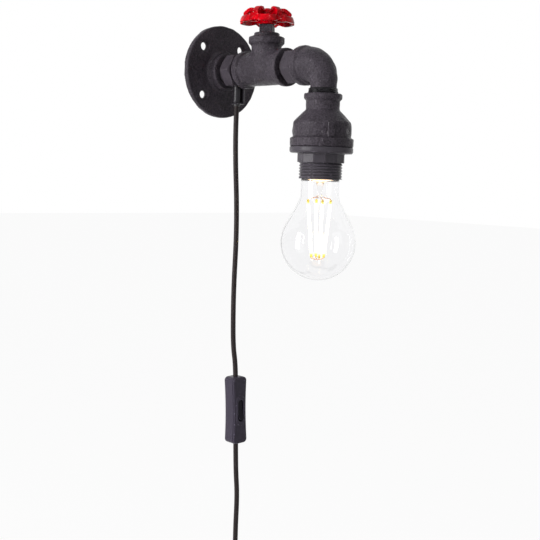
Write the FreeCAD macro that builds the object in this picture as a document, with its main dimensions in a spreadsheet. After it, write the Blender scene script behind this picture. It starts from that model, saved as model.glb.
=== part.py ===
import FreeCAD, Part
import math
import os
import re

import Sketcher

# Industrial pipe wall light: a cast floor flange, a beaded tee with a red
# handwheel, a street elbow and a bell reducer carry a lampholder and a clear
# bulb. A cord with a rocker switch hangs from the wall nipple.
# Frame: the wall is the plane y = 0, the light stands out towards -Y, +Z is
# up, and the origin is the centre of the flange's back face.

os.makedirs("parts", exist_ok=True)
doc = FreeCAD.newDocument("pipe_wall_light")

# ---------------------------------------------------------------------------
# Driving dimensions, in millimetres, degrees and counts
# ---------------------------------------------------------------------------
DRIVING = {
    # fits
    "seat_gap": 0.05, "thread_fit": 0.12, "slip_fit": 0.2,
    # half inch pipe thread and bore
    "thread_radius": 10.4, "thread_hold": 11.4, "pipe_bore": 7.5,
    # wall flange
    "flange_radius": 39.5, "plate_thick": 4.6, "plate_round": 1.3, "hub_radius": 16.0,
    "hub_spread": 2.6, "hub_reach": 12.4, "hub_round": 1.5, "screw_circle": 58.0,
    "screw_count": 4, "screw_hole": 6.5, "sink_wide": 10.4, "sink_deep": 1.9,
    # hexagon nipples
    "hex_start": 16.3, "hex_length": 12.0, "hex_flats": 25.8, "hex_chamfer": 1.6,
    "nipple_inset": 1.2, "nipple_spacing": 4.0,
    # tee
    "tee_start": 32.9, "tee_length": 54.5, "bead_radius": 15.6, "bead_wide": 5.3,
    "bead_round": 1.1, "run_neck": 13.9, "branch_neck": 12.6, "branch_bead": 14.9,
    "branch_top": 26.0, "junction_round": 6.0,
    # square-head plug
    "plug_collar": 10.7, "collar_top": 29.3, "square_wide": 11.0, "square_top": 36.2,
    "square_spin": 36.0, "plug_reach": 10.0, "stem_radius": 3.4, "stem_top": 45.6,
    "tap_radius": 1.3, "tap_deep": 8.0,
    # handwheel
    "wheel_radius": 23.6, "wheel_bottom": 36.6, "brim_high": 3.6, "wheel_wall": 2.8,
    "wheel_peak": 49.4, "knuckle_radius": 14.2, "wheel_hub": 7.2, "wheel_hub_top": 46.9,
    "arch_radius": 11.0, "wheel_petals": 6, "spoke_wide": 5.4, "window_in": 8.4,
    "window_sill": 41.9, "web_thick": 2.6, "web_foot": 38.6,
    "notch_radius": 6.0, "notch_reach": 27.2, "wheel_spin": 47.5,
    "wheel_screw_head": 4.2, "wheel_screw_high": 2.4,
    # street elbow
    "elbow_gap": 0.3, "elbow_face": 25.0, "elbow_bead": 15.9, "elbow_bead_wide": 5.6,
    "bend_radius": 16.0, "elbow_swell": 14.8, "elbow_leg": 10.6, "elbow_thread_top": 18.6,
    "elbow_bottom": 33.5, "seal_radius": 11.4,
    # bell reducer
    "bell_top": 23.0, "bell_bead": 15.0, "bell_bead_wide": 5.3, "bell_neck": 13.4,
    "bell_neck_bottom": 35.7, "bell_body": 23.0, "bell_cone_bottom": 45.0,
    "bell_lip": 25.2, "bell_lip_wide": 7.3, "bell_bottom": 64.8, "bell_bore": 20.0,
    "bell_shoulder": 46.0, "bell_shoulder_in": 17.6, "bell_round": 1.2,
    "rib_wide": 4.8, "rib_high": 0.9, "rib_angle": 62.0,
    # lampholder
    "plate_disc": 1.5, "tube_radius": 5.0, "tube_bore": 3.5, "tube_above": 5.0,
    "nut_flats": 14.0, "nut_high": 2.8, "cap_radius": 18.4,
    "cap_wall": 1.8, "cap_high": 11.5, "ring_radius": 25.2, "ring_thick": 5.0,
    "collar_radius": 19.0, "collar_bottom": 77.1, "collar_flats": 12,
    "skirt_radius": 17.3, "skirt_bottom": 90.0, "skirt_bore": 15.5, "skirt_pitch": 2.3,
    "skirt_turns": 5, "skirt_depth": 0.75, "core_radius": 15.0, "core_high": 8.0, "ledge_bore": 14.35,
    "shell_bore": 13.6, "shell_wall": 0.45, "shell_long": 21.0, "terminal_reach": 8.5,
    # bulb
    "bulb_radius": 30.0, "bulb_middle": 140.7, "shoulder_angle": 28.0, "neck_radius": 15.2,
    "neck_round": 18.0, "glass_wall": 0.9, "neck_top": 92.6, "cap_outer": 13.2,
    "cap_sheet": 0.4, "cap_rim": 88.4, "cap_top": 67.6, "contact_top": 64.7,
    "contact_radius": 4.8, "filament_count": 4, "filament_radius": 0.95,
    "filament_top": 106.5, "filament_end": 152.5, "cage_top": 9.4, "cage_end": 5.0,
    "lead_radius": 0.35, "cage_spin": 60.0,
    # strain relief
    "grip_reach": 24.0, "grip_radius": 3.3, "grip_bore": 2.45, "grip_bottom": 27.4,
    "bracket_thick": 1.1, "bracket_wide": 9.0, "bracket_offset": 1.3, "bracket_front": 3.6,
    "bush_radius": 2.9, "bush_bottom": 30.0,
    # cord
    "cord_radius": 2.2, "wire_radius": 1.15, "entry_bend": 9.0, "terminal_bend": 3.0,
    "stub_above": 11.0, "stub_below": 15.0,
    # in-line switch
    "switch_x": 8.9, "switch_z": 297.0, "switch_long": 60.0, "switch_wide": 15.6,
    "switch_deep": 13.4, "switch_waist": 0.9, "switch_corner": 3.6, "switch_edge": 1.5,
    "switch_lean": 2.4, "switch_split": 4.6, "frame_rise": 0.9, "frame_wide": 9.6,
    "frame_long": 27.0, "opening_wide": 6.1, "opening_long": 19.3,
    "rocker_long": 17.8, "rocker_wide": 5.4, "rocker_tilt": 9.0, "rocker_depth": 1.9,
    "rocker_high": 1.4, "rocker_under": 2.0, "pivot_radius": 0.9, "pivot_fit": 0.06,
    "pivot_long": 9.2, "cavity_wide": 8.0, "cavity_long": 34.0, "cavity_deep": 7.9,
    "contact_apart": 12.0,
    "back_screw_reach": 23.0, "back_screw_head": 2.2,
    # coil and plug
    "coil_x": 13.6, "coil_drop": 461.0, "coil_pitch": 5.05, "coil_inner": 17.6,
    "coil_quarters": 13, "coil_dip": 0.7, "coil_lead": 12.0, "coil_leave": 24.0,
    "tie_wide": 6.0, "tie_thick": 1.2, "tie_gap": 0.6,
    "sleeve_long": 14.0, "sleeve_radius": 3.7, "plug_long": 36.0, "plug_wide": 35.0,
    "plug_thick": 13.7, "plug_face": 26.0, "plug_round": 3.0,
    "pin_radius": 2.0, "pin_long": 19.0, "pin_seat": 8.0, "pin_apart": 18.6,
}

sheet = doc.addObject("Spreadsheet::Sheet", "Sizes")
for row, (alias, number) in enumerate(DRIVING.items(), 1):
    sheet.set("A%d" % row, alias)
    sheet.set("B%d" % row, str(number))
    sheet.setAlias("B%d" % row, alias)
doc.recompute()

# places worked out from the driving dimensions, as expressions
TEE_END = "(tee_start + tee_length)"
TEE_MIDDLE = "(tee_start + tee_length / 2)"
ARM_HEX = "(%s + nipple_spacing)" % TEE_END
ELBOW_START = "(%s + hex_length + elbow_gap)" % ARM_HEX
LAMP_REACH = "(%s + elbow_face)" % ELBOW_START
DISC_TOP = "(bell_shoulder + seat_gap)"
CAP_TOP = "(%s + plate_disc + seat_gap)" % DISC_TOP
RING_TOP = "(bell_bottom + seat_gap)"
SHELL_TOP = "(contact_top - 2.2)"

parts = {}


# ---------------------------------------------------------------------------
# Ways of making a piece
# ---------------------------------------------------------------------------
def bound(expression):
    """Expression text with each driving dimension's name tied to the sheet."""
    return re.sub(r"[a-z]+(?:_[a-z]+)+", lambda word: "Sizes." + word.group(0), str(expression))


def number(expression):
    """Value of an expression in driving dimensions."""
    value = sheet.evalExpression(bound(expression).replace("Sizes.", ""))
    return float(getattr(value, "Value", value))


def tie(thing, **settings):
    """Binds properties of a document object to expressions."""
    for prop, expression in settings.items():
        thing.setExpression(prop.replace("__", "."), bound(expression))


def put(thing, x="0", y="0", z="0", turn=(0, 0, 1, 0)):
    """Gives a sub-part its place, bound to the sheet, and its turn about an axis."""
    thing.Placement = FreeCAD.Placement(
        FreeCAD.Vector(0, 0, 0), FreeCAD.Rotation(FreeCAD.Vector(*turn[:3]), turn[3]))
    tie(thing, Placement__Base__x=x, Placement__Base__y=y, Placement__Base__z=z)


OUTWARD = (1, 0, 0, 90)


def keep(name, thing):
    """Names a finished sub-part."""
    thing.Label = name
    parts[name] = thing
    return thing


def new_body(name):
    return doc.addObject("PartDesign::Body", name)


def plane(body, role):
    return next(item for item in body.Origin.OriginFeatures if item.Role == role)


def new_sketch(body, name, role, offset=None, turn=(0, 0, 1, 0)):
    """A sketch on one of the body's own planes, lifted off it where offset is given."""
    sketch = body.newObject("Sketcher::SketchObject", name)
    sketch.AttachmentSupport = (plane(body, role), [""])
    sketch.MapMode = "FlatFace"
    sketch.AttachmentOffset = FreeCAD.Placement(
        FreeCAD.Vector(0, 0, 0), FreeCAD.Rotation(FreeCAD.Vector(*turn[:3]), turn[3]))
    if offset:
        tie(sketch, AttachmentOffset__Base__z=offset)
    return sketch


def draw(sketch, corners):
    """Closed outline through corners (x, y) or (x, y, radius, side), where a
    radius makes the edge to the next corner an arc, to the left for side 1."""
    spots = [FreeCAD.Vector(number(c[0]), number(c[1]), 0) for c in corners]
    count = len(corners)
    ends = []
    for i, corner in enumerate(corners):
        here, there = spots[i], spots[(i + 1) % count]
        if len(corner) == 2:
            sketch.addGeometry(Part.LineSegment(here, there), False)
            ends.append((1, 2))
            continue
        radius, side = number(corner[2]), corner[3]
        chord = there - here
        normal = FreeCAD.Vector(-chord.y, chord.x, 0)
        normal.normalize()
        lift = math.sqrt(max(radius ** 2 - (chord.Length / 2) ** 2, 0))
        centre = (here + there) * 0.5 + normal * lift * side
        first = math.atan2(here.y - centre.y, here.x - centre.x)
        last = math.atan2(there.y - centre.y, there.x - centre.x)
        if side < 0:
            first, last = last, first
        circle = Part.Circle(centre, FreeCAD.Vector(0, 0, 1), radius)
        sketch.addGeometry(Part.ArcOfCircle(circle, first, last), False)
        ends.append((1, 2) if side > 0 else (2, 1))
    for i in range(count):
        after = (i + 1) % count
        sketch.addConstraint(Sketcher.Constraint("Coincident", i, ends[i][1], after, ends[after][0]))
    for i, corner in enumerate(corners):
        for kind, text, value in (("DistanceX", corner[0], spots[i].x),
                                  ("DistanceY", corner[1], spots[i].y)):
            index = sketch.addConstraint(Sketcher.Constraint(kind, -1, 1, i, ends[i][0], value))
            sketch.setExpression("Constraints[%d]" % index, bound(text))
        if len(corner) > 2:
            index = sketch.addConstraint(Sketcher.Constraint("Radius", i, number(corner[2])))
            sketch.setExpression("Constraints[%d]" % index, bound(corner[2]))


def ring_edges(shape, places):
    """Names of the circular edges of a turned shape at (radius, height) places."""
    names = []
    for index, edge in enumerate(shape.Edges, 1):
        if not isinstance(edge.Curve, Part.Circle):
            continue
        for radius, height in places:
            near = abs(edge.Curve.Radius - radius) < 1e-3 and abs(edge.Curve.Center.z - height) < 1e-3
            if near and abs(edge.Curve.Axis.z) > 0.99:
                names.append("Edge%d" % index)
    return names


def turned(name, corners, rounds=None):
    """A lathe-turned or cast round piece: a profile of (radius, height) corners
    turned about its own Z, with the corners numbered in rounds filleted."""
    body = new_body(name)
    sketch = new_sketch(body, name + "_profile", "XZ_Plane")
    draw(sketch, corners)
    form = body.newObject("PartDesign::Revolution", name + "_turned")
    form.Profile = sketch
    form.ReferenceAxis = (sketch, ["V_Axis"])
    form.Angle = 360
    doc.recompute()
    for radius, indices in (rounds or {}).items():
        places = [(number(corners[i][0]), number(corners[i][1])) for i in indices]
        fillet = body.newObject("PartDesign::Fillet", name + "_round")
        fillet.Base = (form, ring_edges(form.Shape, places))
        tie(fillet, Radius=radius)
        doc.recompute()
        form = fillet
    return body


def cut_cylinder(body, name, radius, height, x="0", y="0", z="0", turn=(0, 0, 1, 0)):
    """Round hole in a body, from a place along its turned Z."""
    hole = body.newObject("PartDesign::SubtractiveCylinder", name)
    hole.AttachmentSupport = (plane(body, "XY_Plane"), [""])
    hole.MapMode = "FlatFace"
    hole.AttachmentOffset = FreeCAD.Placement(
        FreeCAD.Vector(0, 0, 0), FreeCAD.Rotation(FreeCAD.Vector(*turn[:3]), turn[3]))
    tie(hole, Radius=radius, Height=height, AttachmentOffset__Base__x=x,
        AttachmentOffset__Base__y=y, AttachmentOffset__Base__z=z)
    doc.recompute()
    return hole


def cut_box(body, name, size, corner, turn=(0, 0, 1, 0)):
    """Box-shaped cut in a body, from its low corner."""
    box = body.newObject("PartDesign::SubtractiveBox", name)
    box.AttachmentSupport = (plane(body, "XY_Plane"), [""])
    box.MapMode = "FlatFace"
    box.AttachmentOffset = FreeCAD.Placement(
        FreeCAD.Vector(0, 0, 0), FreeCAD.Rotation(FreeCAD.Vector(*turn[:3]), turn[3]))
    tie(box, Length=size[0], Width=size[1], Height=size[2],
        AttachmentOffset__Base__x=corner[0], AttachmentOffset__Base__y=corner[1],
        AttachmentOffset__Base__z=corner[2])
    doc.recompute()
    return box


def round_about(body, name, originals, count):
    """Repeats features evenly about the body's Z."""
    pattern = body.newObject("PartDesign::PolarPattern", name)
    pattern.Originals = originals
    pattern.Axis = (plane(body, "Z_Axis"), [""])
    pattern.Angle = 360
    tie(pattern, Occurrences=count)
    body.Tip = pattern
    doc.recompute()
    return pattern


# ---------------------------------------------------------------------------
# Wall flange: cast plate and hub, four countersunk holes
# ---------------------------------------------------------------------------
flange = turned("wall_flange", [
    ("thread_radius + thread_fit", "0"), ("flange_radius", "0"), ("flange_radius", "plate_thick"),
    ("hub_radius + hub_spread", "plate_thick"), ("hub_radius", "plate_thick + hub_spread"),
    ("hub_radius", "hub_reach"), ("thread_radius + thread_fit", "hub_reach"),
], {"plate_round": [2], "hub_round": [5]})
shank = cut_cylinder(flange, "screw_hole_cut", "screw_hole / 2", "plate_thick * 3",
                     "screw_circle / 2", "0", "-plate_thick")
sink = flange.newObject("PartDesign::SubtractiveCone", "screw_sink_cut")
sink.AttachmentSupport = (plane(flange, "XY_Plane"), [""])
sink.MapMode = "FlatFace"
tie(sink, Radius1="screw_hole / 2", Radius2="sink_wide / 2 + sink_deep", Height="sink_deep * 2",
    AttachmentOffset__Base__x="screw_circle / 2", AttachmentOffset__Base__z="plate_thick - sink_deep")
doc.recompute()
round_about(flange, "screw_holes", [shank, sink], "screw_count")
put(keep("wall_flange", flange), turn=OUTWARD)
flange.Placement = FreeCAD.Placement(
    flange.Placement.Base,
    FreeCAD.Rotation(FreeCAD.Vector(1, 0, 0), 90) * FreeCAD.Rotation(FreeCAD.Vector(0, 0, 1), 45))


# ---------------------------------------------------------------------------
# Hexagon nipples: turned blanks with six milled flats
# ---------------------------------------------------------------------------
def nipple(name, wall_end, hex_from, far_end, spin):
    corner = "hex_flats / sqrt(3)"
    hex_to = hex_from + " + hex_length"
    body = turned(name, [
        ("pipe_bore", wall_end), ("thread_radius", wall_end), ("thread_radius", hex_from),
        ("hex_flats / 2 - 0.4", hex_from), (corner, hex_from + " + hex_chamfer"),
        (corner, hex_to + " - hex_chamfer"), ("hex_flats / 2 - 0.4", hex_to),
        ("thread_radius", hex_to), ("thread_radius", far_end), ("pipe_bore", far_end)])
    flat = cut_box(body, name + "_flat", ("hex_flats", "hex_flats * 2", "hex_length + 2"),
                   ("hex_flats / 2", "-hex_flats", hex_from + " - 1"))
    round_about(body, name + "_hexagon", [flat], "6")
    body.Placement = FreeCAD.Placement(
        FreeCAD.Vector(0, 0, 0),
        FreeCAD.Rotation(FreeCAD.Vector(1, 0, 0), 90)
        * FreeCAD.Rotation(FreeCAD.Vector(0, 0, 1), 30 + spin))
    return body


wall_nipple = nipple("wall_nipple", "nipple_inset", "hex_start", "tee_start + thread_hold", 0)
# cross hole through the hexagon's lower flat, for the cord
cut_cylinder(wall_nipple, "cord_hole", "grip_radius + slip_fit", "hex_flats",
             "0", "0", "grip_reach", (math.cos(math.radians(30)), -math.sin(math.radians(30)), 0, 90))
keep("wall_nipple", wall_nipple)
arm_nipple = nipple("arm_nipple", TEE_END + " - thread_hold", ARM_HEX,
                    ELBOW_START + " + thread_hold", 10)
keep("arm_nipple", arm_nipple)


# ---------------------------------------------------------------------------
# Cast tee: beaded run and branch, faired into each other
# ---------------------------------------------------------------------------
HALF = "tee_length / 2"
tee = turned("pipe_tee", [
    ("0", "-" + HALF), ("bead_radius", "-" + HALF), ("bead_radius", "bead_wide - " + HALF),
    ("run_neck", "bead_wide + bead_radius - run_neck - " + HALF),
    ("run_neck", HALF + " - bead_wide - bead_radius + run_neck"),
    ("bead_radius", HALF + " - bead_wide"), ("bead_radius", HALF), ("0", HALF)],
    {"bead_round": [1, 2, 5, 6]})
branch_sketch = new_sketch(tee, "branch_profile", "YZ_Plane", turn=(0, 0, 1, 0))
draw(branch_sketch, [
    ("0", "0"), ("0", "branch_neck"), ("branch_top - bead_wide - branch_bead + branch_neck", "branch_neck"),
    ("branch_top - bead_wide", "branch_bead"), ("branch_top - 0.8", "branch_bead"),
    ("branch_top", "branch_bead - 0.8"), ("branch_top", "0")])
branch = tee.newObject("PartDesign::Revolution", "branch_turned")
branch.Profile = branch_sketch
branch.ReferenceAxis = (branch_sketch, ["H_Axis"])
branch.Angle = 360
doc.recompute()
seam = ["Edge%d" % i for i, edge in enumerate(branch.Shape.Edges, 1)
        if not isinstance(edge.Curve, (Part.Circle, Part.Line))]
fairing = tee.newObject("PartDesign::Fillet", "junction_fairing")
fairing.Base = (branch, seam)
tie(fairing, Radius="junction_round")
doc.recompute()
cut_cylinder(tee, "run_bore", "thread_radius + thread_fit", "tee_length * 2", "0", "0", "-tee_length")
cut_cylinder(tee, "branch_bore", "thread_radius + thread_fit", "branch_top * 2",
             turn=(1, 0, 0, -90))
put(keep("pipe_tee", tee), y="-" + TEE_MIDDLE, turn=OUTWARD)


# ---------------------------------------------------------------------------
# Square-head plug, handwheel and its screw
# ---------------------------------------------------------------------------
plug = turned("tee_plug", [
    ("0", "branch_top - plug_reach"), ("thread_radius - 0.6", "branch_top - plug_reach"),
    ("thread_radius", "branch_top - plug_reach + 0.6"), ("thread_radius", "branch_top + seat_gap * 2"),
    ("plug_collar", "branch_top + seat_gap * 2"), ("plug_collar", "collar_top"),
    ("0", "collar_top")], {"hub_round * 0.6": [5]})
head = plug.newObject("PartDesign::AdditiveBox", "square_head")
head.AttachmentSupport = (plane(plug, "XY_Plane"), [""])
head.MapMode = "FlatFace"
tie(head, Length="square_wide", Width="square_wide", Height="square_top - collar_top + 1",
    AttachmentOffset__Base__x="-square_wide / 2", AttachmentOffset__Base__y="-square_wide / 2",
    AttachmentOffset__Base__z="collar_top - 1")
stem = plug.newObject("PartDesign::AdditiveCylinder", "wheel_stem")
stem.AttachmentSupport = (plane(plug, "XY_Plane"), [""])
stem.MapMode = "FlatFace"
tie(stem, Radius="stem_radius", Height="stem_top - square_top + 1",
    AttachmentOffset__Base__z="square_top - 1")
doc.recompute()
cut_cylinder(plug, "screw_tapping", "tap_radius", "tap_deep + 1", z="stem_top - tap_deep")
put(keep("tee_plug", plug), y="-" + TEE_MIDDLE)
plug.Placement = FreeCAD.Placement(
    plug.Placement.Base, FreeCAD.Rotation(FreeCAD.Vector(0, 0, 1), number("square_spin")))

# The wheel is a dome on a hub: six windows leave six arched spokes over a brim,
# a web stands under each spoke, and a notch at its foot parts the petals.
WHEEL_IN = "wheel_radius - wheel_wall"
wheel = turned("handwheel", [
    ("stem_radius + slip_fit", "square_top + seat_gap * 2"), ("wheel_hub", "square_top + seat_gap * 2"),
    ("wheel_hub + 0.8", "wheel_peak - wheel_wall - 1.6"),
    ("knuckle_radius - 1.5", "wheel_peak - wheel_wall", "arch_radius - 2", -1),
    (WHEEL_IN, "wheel_bottom + brim_high"),
    (WHEEL_IN, "wheel_bottom"), ("wheel_radius", "wheel_bottom"),
    ("wheel_radius", "wheel_bottom + brim_high", "arch_radius", 1),
    ("knuckle_radius", "wheel_peak"), ("knuckle_radius - 3", "wheel_peak"),
    ("wheel_hub + 1", "wheel_hub_top"), ("stem_radius + slip_fit", "wheel_hub_top")],
    {"0.8": [6, 8]})
window_sketch = new_sketch(wheel, "window_outline", "XY_Plane", "window_sill")
APEX = "spoke_wide / 2 / sin(180deg / wheel_petals)"
SLOPE = "tan(180deg / wheel_petals)"
OUT = "wheel_radius + 6"
draw(window_sketch, [
    ("window_in", "-(window_in - %s) * %s" % (APEX, SLOPE)),
    (OUT, "-(%s - %s) * %s" % (OUT, APEX, SLOPE)), (OUT, "(%s - %s) * %s" % (OUT, APEX, SLOPE)),
    ("window_in", "(window_in - %s) * %s" % (APEX, SLOPE))])
window = wheel.newObject("PartDesign::Pocket", "window")
window.Profile = window_sketch
window.Type = "Length"
window.Reversed = True
tie(window, Length="wheel_peak")
doc.recompute()
round_about(wheel, "windows", [window], "wheel_petals")
notch = cut_cylinder(wheel, "notch", "notch_radius", "wheel_peak",
                     "notch_reach * cos(180deg / wheel_petals)",
                     "notch_reach * sin(180deg / wheel_petals)", "0")
round_about(wheel, "notches", [notch], "wheel_petals")
web_sketch = new_sketch(wheel, "web_outline", "XZ_Plane", turn=(0, 1, 0, 30))
draw(web_sketch, [
    ("wheel_hub - 1", "web_foot"), (WHEEL_IN + " + 0.2", "web_foot"),
    (WHEEL_IN + " + 0.2", "wheel_bottom + brim_high", "arch_radius - 2", 1),
    ("knuckle_radius - 1.3", "wheel_peak - wheel_wall + 0.2"),
    ("wheel_hub - 1", "wheel_peak - wheel_wall - 1.6")])
web = wheel.newObject("PartDesign::Pad", "web")
web.Profile = web_sketch
web.Midplane = True
tie(web, Length="web_thick")
doc.recompute()
round_about(wheel, "webs", [web], "wheel_petals")
put(keep("handwheel", wheel), y="-" + TEE_MIDDLE)
wheel.Placement = FreeCAD.Placement(
    wheel.Placement.Base, FreeCAD.Rotation(FreeCAD.Vector(0, 0, 1), number("wheel_spin")))

wheel_screw = turned("wheel_screw", [
    ("0", "stem_top - tap_deep + 2"), ("tap_radius - 0.1", "stem_top - tap_deep + 2"),
    ("tap_radius - 0.1", "wheel_hub_top + seat_gap"),
    ("wheel_screw_head", "wheel_hub_top + seat_gap"),
    ("wheel_screw_head", "wheel_hub_top + wheel_screw_high * 0.4"),
    ("wheel_screw_head * 0.6", "wheel_hub_top + wheel_screw_high"),
    ("0", "wheel_hub_top + wheel_screw_high")])
put(keep("wheel_screw", wheel_screw), y="-" + TEE_MIDDLE)


# ---------------------------------------------------------------------------
# Street elbow: beaded socket, bend that narrows, threaded tail pointing down
# ---------------------------------------------------------------------------
elbow = turned("street_elbow", [
    ("0", "-elbow_face"), ("elbow_bead", "-elbow_face"), ("elbow_bead", "elbow_bead_wide - elbow_face"),
    ("elbow_swell", "elbow_bead_wide + 1.6 - elbow_face"), ("elbow_swell", "-bend_radius"),
    ("0", "-bend_radius")], {"bead_round": [1, 2]})
spine = new_sketch(elbow, "bend_line", "YZ_Plane")
quarter = Part.Circle(FreeCAD.Vector(-number("bend_radius"), -number("bend_radius"), 0),
                      FreeCAD.Vector(0, 0, 1), number("bend_radius"))
spine.addGeometry(Part.ArcOfCircle(quarter, 0, math.pi / 2), False)
# the arc's start, end and centre, in the order in which the sketcher counts them
for place, kinds in enumerate((["DistanceY"], ["DistanceX"], ["DistanceX", "DistanceY"]), 1):
    for kind in kinds:
        index = spine.addConstraint(Sketcher.Constraint(kind, -1, 1, 0, place, number("-bend_radius")))
        spine.setExpression("Constraints[%d]" % index, bound("-bend_radius"))
index = spine.addConstraint(Sketcher.Constraint("Radius", 0, number("bend_radius")))
spine.setExpression("Constraints[%d]" % index, bound("bend_radius"))


def disc_sketch(body, name, role, radius, offset):
    """A circle about the origin of one of the body's planes."""
    sketch = new_sketch(body, name, role, offset)
    circle = Part.Circle(FreeCAD.Vector(0, 0, 0), FreeCAD.Vector(0, 0, 1), number(radius))
    sketch.addGeometry(circle, False)
    sketch.addConstraint(Sketcher.Constraint("Coincident", 0, 3, -1, 1))
    place = sketch.addConstraint(Sketcher.Constraint("Radius", 0, number(radius)))
    sketch.setExpression("Constraints[%d]" % place, bound(radius))
    return sketch


def bend(body, kind, name, start_radius, end_radius):
    """Quarter bend along the elbow's line, from one radius to another."""
    start = disc_sketch(body, name + "_start", "XY_Plane", start_radius, "-bend_radius")
    end = disc_sketch(body, name + "_end", "XZ_Plane", end_radius, "bend_radius")
    pipe = body.newObject("PartDesign::" + kind, name)
    pipe.Profile = start
    pipe.Spine = (spine, ["Edge1"])
    pipe.Sections = [(end, [""])]
    pipe.Transformation = "Multisection"
    doc.recompute()
    return pipe


bend(elbow, "AdditivePipe", "elbow_bend", "elbow_swell", "elbow_leg")
tail_sketch = new_sketch(elbow, "tail_profile", "YZ_Plane")
draw(tail_sketch, [
    ("-bend_radius", "0"), ("-bend_radius", "elbow_leg"), ("-elbow_thread_top", "elbow_leg"),
    ("-elbow_thread_top", "thread_radius"), ("-elbow_bottom", "thread_radius"), ("-elbow_bottom", "0")])
tail = elbow.newObject("PartDesign::Revolution", "elbow_tail")
tail.Profile = tail_sketch
tail.ReferenceAxis = (tail_sketch, ["H_Axis"])
tail.Angle = 360
doc.recompute()
cut_cylinder(elbow, "socket", "thread_radius + thread_fit", "thread_hold + 1", z="-elbow_face - 0.5")
cut_cylinder(elbow, "arm_bore", "pipe_bore", "elbow_face - bend_radius", z="-elbow_face")
bend(elbow, "SubtractivePipe", "bend_bore", "pipe_bore", "pipe_bore")
cut_cylinder(elbow, "tail_bore", "pipe_bore", "elbow_bottom", y="-bend_radius", turn=(1, 0, 0, 90))
put(keep("street_elbow", elbow), y="-" + LAMP_REACH, turn=OUTWARD)

thread_seal = turned("thread_seal", [
    ("thread_radius + seat_gap", "-bell_top + seat_gap"), ("seal_radius - 0.3", "-bell_top + seat_gap"),
    ("seal_radius", "-bell_top + 1.0"), ("seal_radius - 0.5", "-elbow_thread_top - 1.4"),
    ("thread_radius + 0.3", "-elbow_thread_top - seat_gap * 2"),
    ("thread_radius + seat_gap", "-elbow_thread_top - seat_gap * 2")])
put(keep("thread_seal", thread_seal), y="-" + LAMP_REACH)


# ---------------------------------------------------------------------------
# Bell reducer: cast socket from half inch to the lampholder's bore
# ---------------------------------------------------------------------------
bell = turned("bell_reducer", [
    ("thread_radius + thread_fit", "-bell_top"), ("bell_bead", "-bell_top"),
    ("bell_bead", "-bell_top - bell_bead_wide + 1.2"), ("bell_neck", "-bell_top - bell_bead_wide - 0.4"),
    ("bell_neck", "-bell_neck_bottom"), ("bell_body - 0.6", "-bell_cone_bottom"),
    ("bell_body", "-bell_cone_bottom - 1.4"), ("bell_body", "-bell_bottom + bell_lip_wide + 0.3"),
    ("bell_lip", "-bell_bottom + bell_lip_wide - 0.8"), ("bell_lip", "-bell_bottom"),
    ("bell_bore", "-bell_bottom"), ("bell_bore", "-bell_shoulder"), ("bell_shoulder_in", "-bell_shoulder"),
    ("thread_radius + thread_fit", "-bell_neck_bottom - 0.4")],
    {"bell_round": [1, 2, 9], "bell_round * 2": [4]})
rib = bell.newObject("PartDesign::AdditiveBox", "seam_rib")
rib.AttachmentSupport = (plane(bell, "XY_Plane"), [""])
rib.MapMode = "FlatFace"
tie(rib, Length="rib_high + 1.5", Width="rib_wide",
    Height="bell_bottom - bell_lip_wide - bell_cone_bottom - 0.4",
    AttachmentOffset__Base__x="bell_body - 1.5", AttachmentOffset__Base__y="-rib_wide / 2",
    AttachmentOffset__Base__z="-bell_bottom + bell_lip_wide - 0.6")
doc.recompute()
round_about(bell, "seam_ribs", [rib], "2")
put(keep("bell_reducer", bell), y="-" + LAMP_REACH)
bell.Placement = FreeCAD.Placement(
    bell.Placement.Base, FreeCAD.Rotation(FreeCAD.Vector(0, 0, 1), number("rib_angle")))


# ---------------------------------------------------------------------------
# Lampholder and what carries it in the bell
# ---------------------------------------------------------------------------
def on_lamp_axis(name, thing):
    put(keep(name, thing), y="-" + LAMP_REACH)
    return thing


def washer(name, inner, outer, top, bottom):
    return turned(name, [(inner, "-" + top), (outer, "-" + top), (outer, "-" + bottom),
                         (inner, "-" + bottom)])


on_lamp_axis("fixing_plate", washer("fixing_plate", "tube_radius + slip_fit", "bell_bore - slip_fit",
                                    DISC_TOP, "(%s + plate_disc)" % DISC_TOP))
on_lamp_axis("holder_nipple", washer("holder_nipple", "tube_bore", "tube_radius",
                                     "(%s - tube_above)" % DISC_TOP, "(%s + cap_wall)" % CAP_TOP))
NUT_BOTTOM = "(%s - seat_gap)" % DISC_TOP
lock_nut = washer("lock_nut", "tube_radius + thread_fit", "nut_flats / sqrt(3)",
                  "(%s - nut_high)" % NUT_BOTTOM, NUT_BOTTOM)
nut_flat = cut_box(lock_nut, "nut_flat", ("nut_flats", "nut_flats * 2", "nut_high + 2"),
                   ("nut_flats / 2", "-nut_flats", "-%s - 1" % NUT_BOTTOM))
round_about(lock_nut, "nut_hexagon", [nut_flat], "6")
on_lamp_axis("lock_nut", lock_nut)

CAP_END = "(%s + cap_high)" % CAP_TOP
on_lamp_axis("holder_cap", turned("holder_cap", [
    ("tube_radius + thread_fit", "-" + CAP_TOP), ("cap_radius", "-" + CAP_TOP),
    ("cap_radius", "-" + CAP_END), ("cap_radius - cap_wall", "-" + CAP_END),
    ("cap_radius - cap_wall", "-(%s + cap_wall)" % CAP_TOP),
    ("tube_radius + thread_fit", "-(%s + cap_wall)" % CAP_TOP)], {"1.2": [1]}))

holder_core = washer("holder_core", "2.2", "core_radius", "(%s - core_high)" % SHELL_TOP, SHELL_TOP)
terminal_hole = cut_cylinder(holder_core, "terminal_hole", "1.5 + thread_fit", "6",
                             "terminal_reach", "0", "-(%s - core_high) - 5" % SHELL_TOP)
round_about(holder_core, "terminal_holes", [terminal_hole], "2")
on_lamp_axis("holder_core", holder_core)

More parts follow.
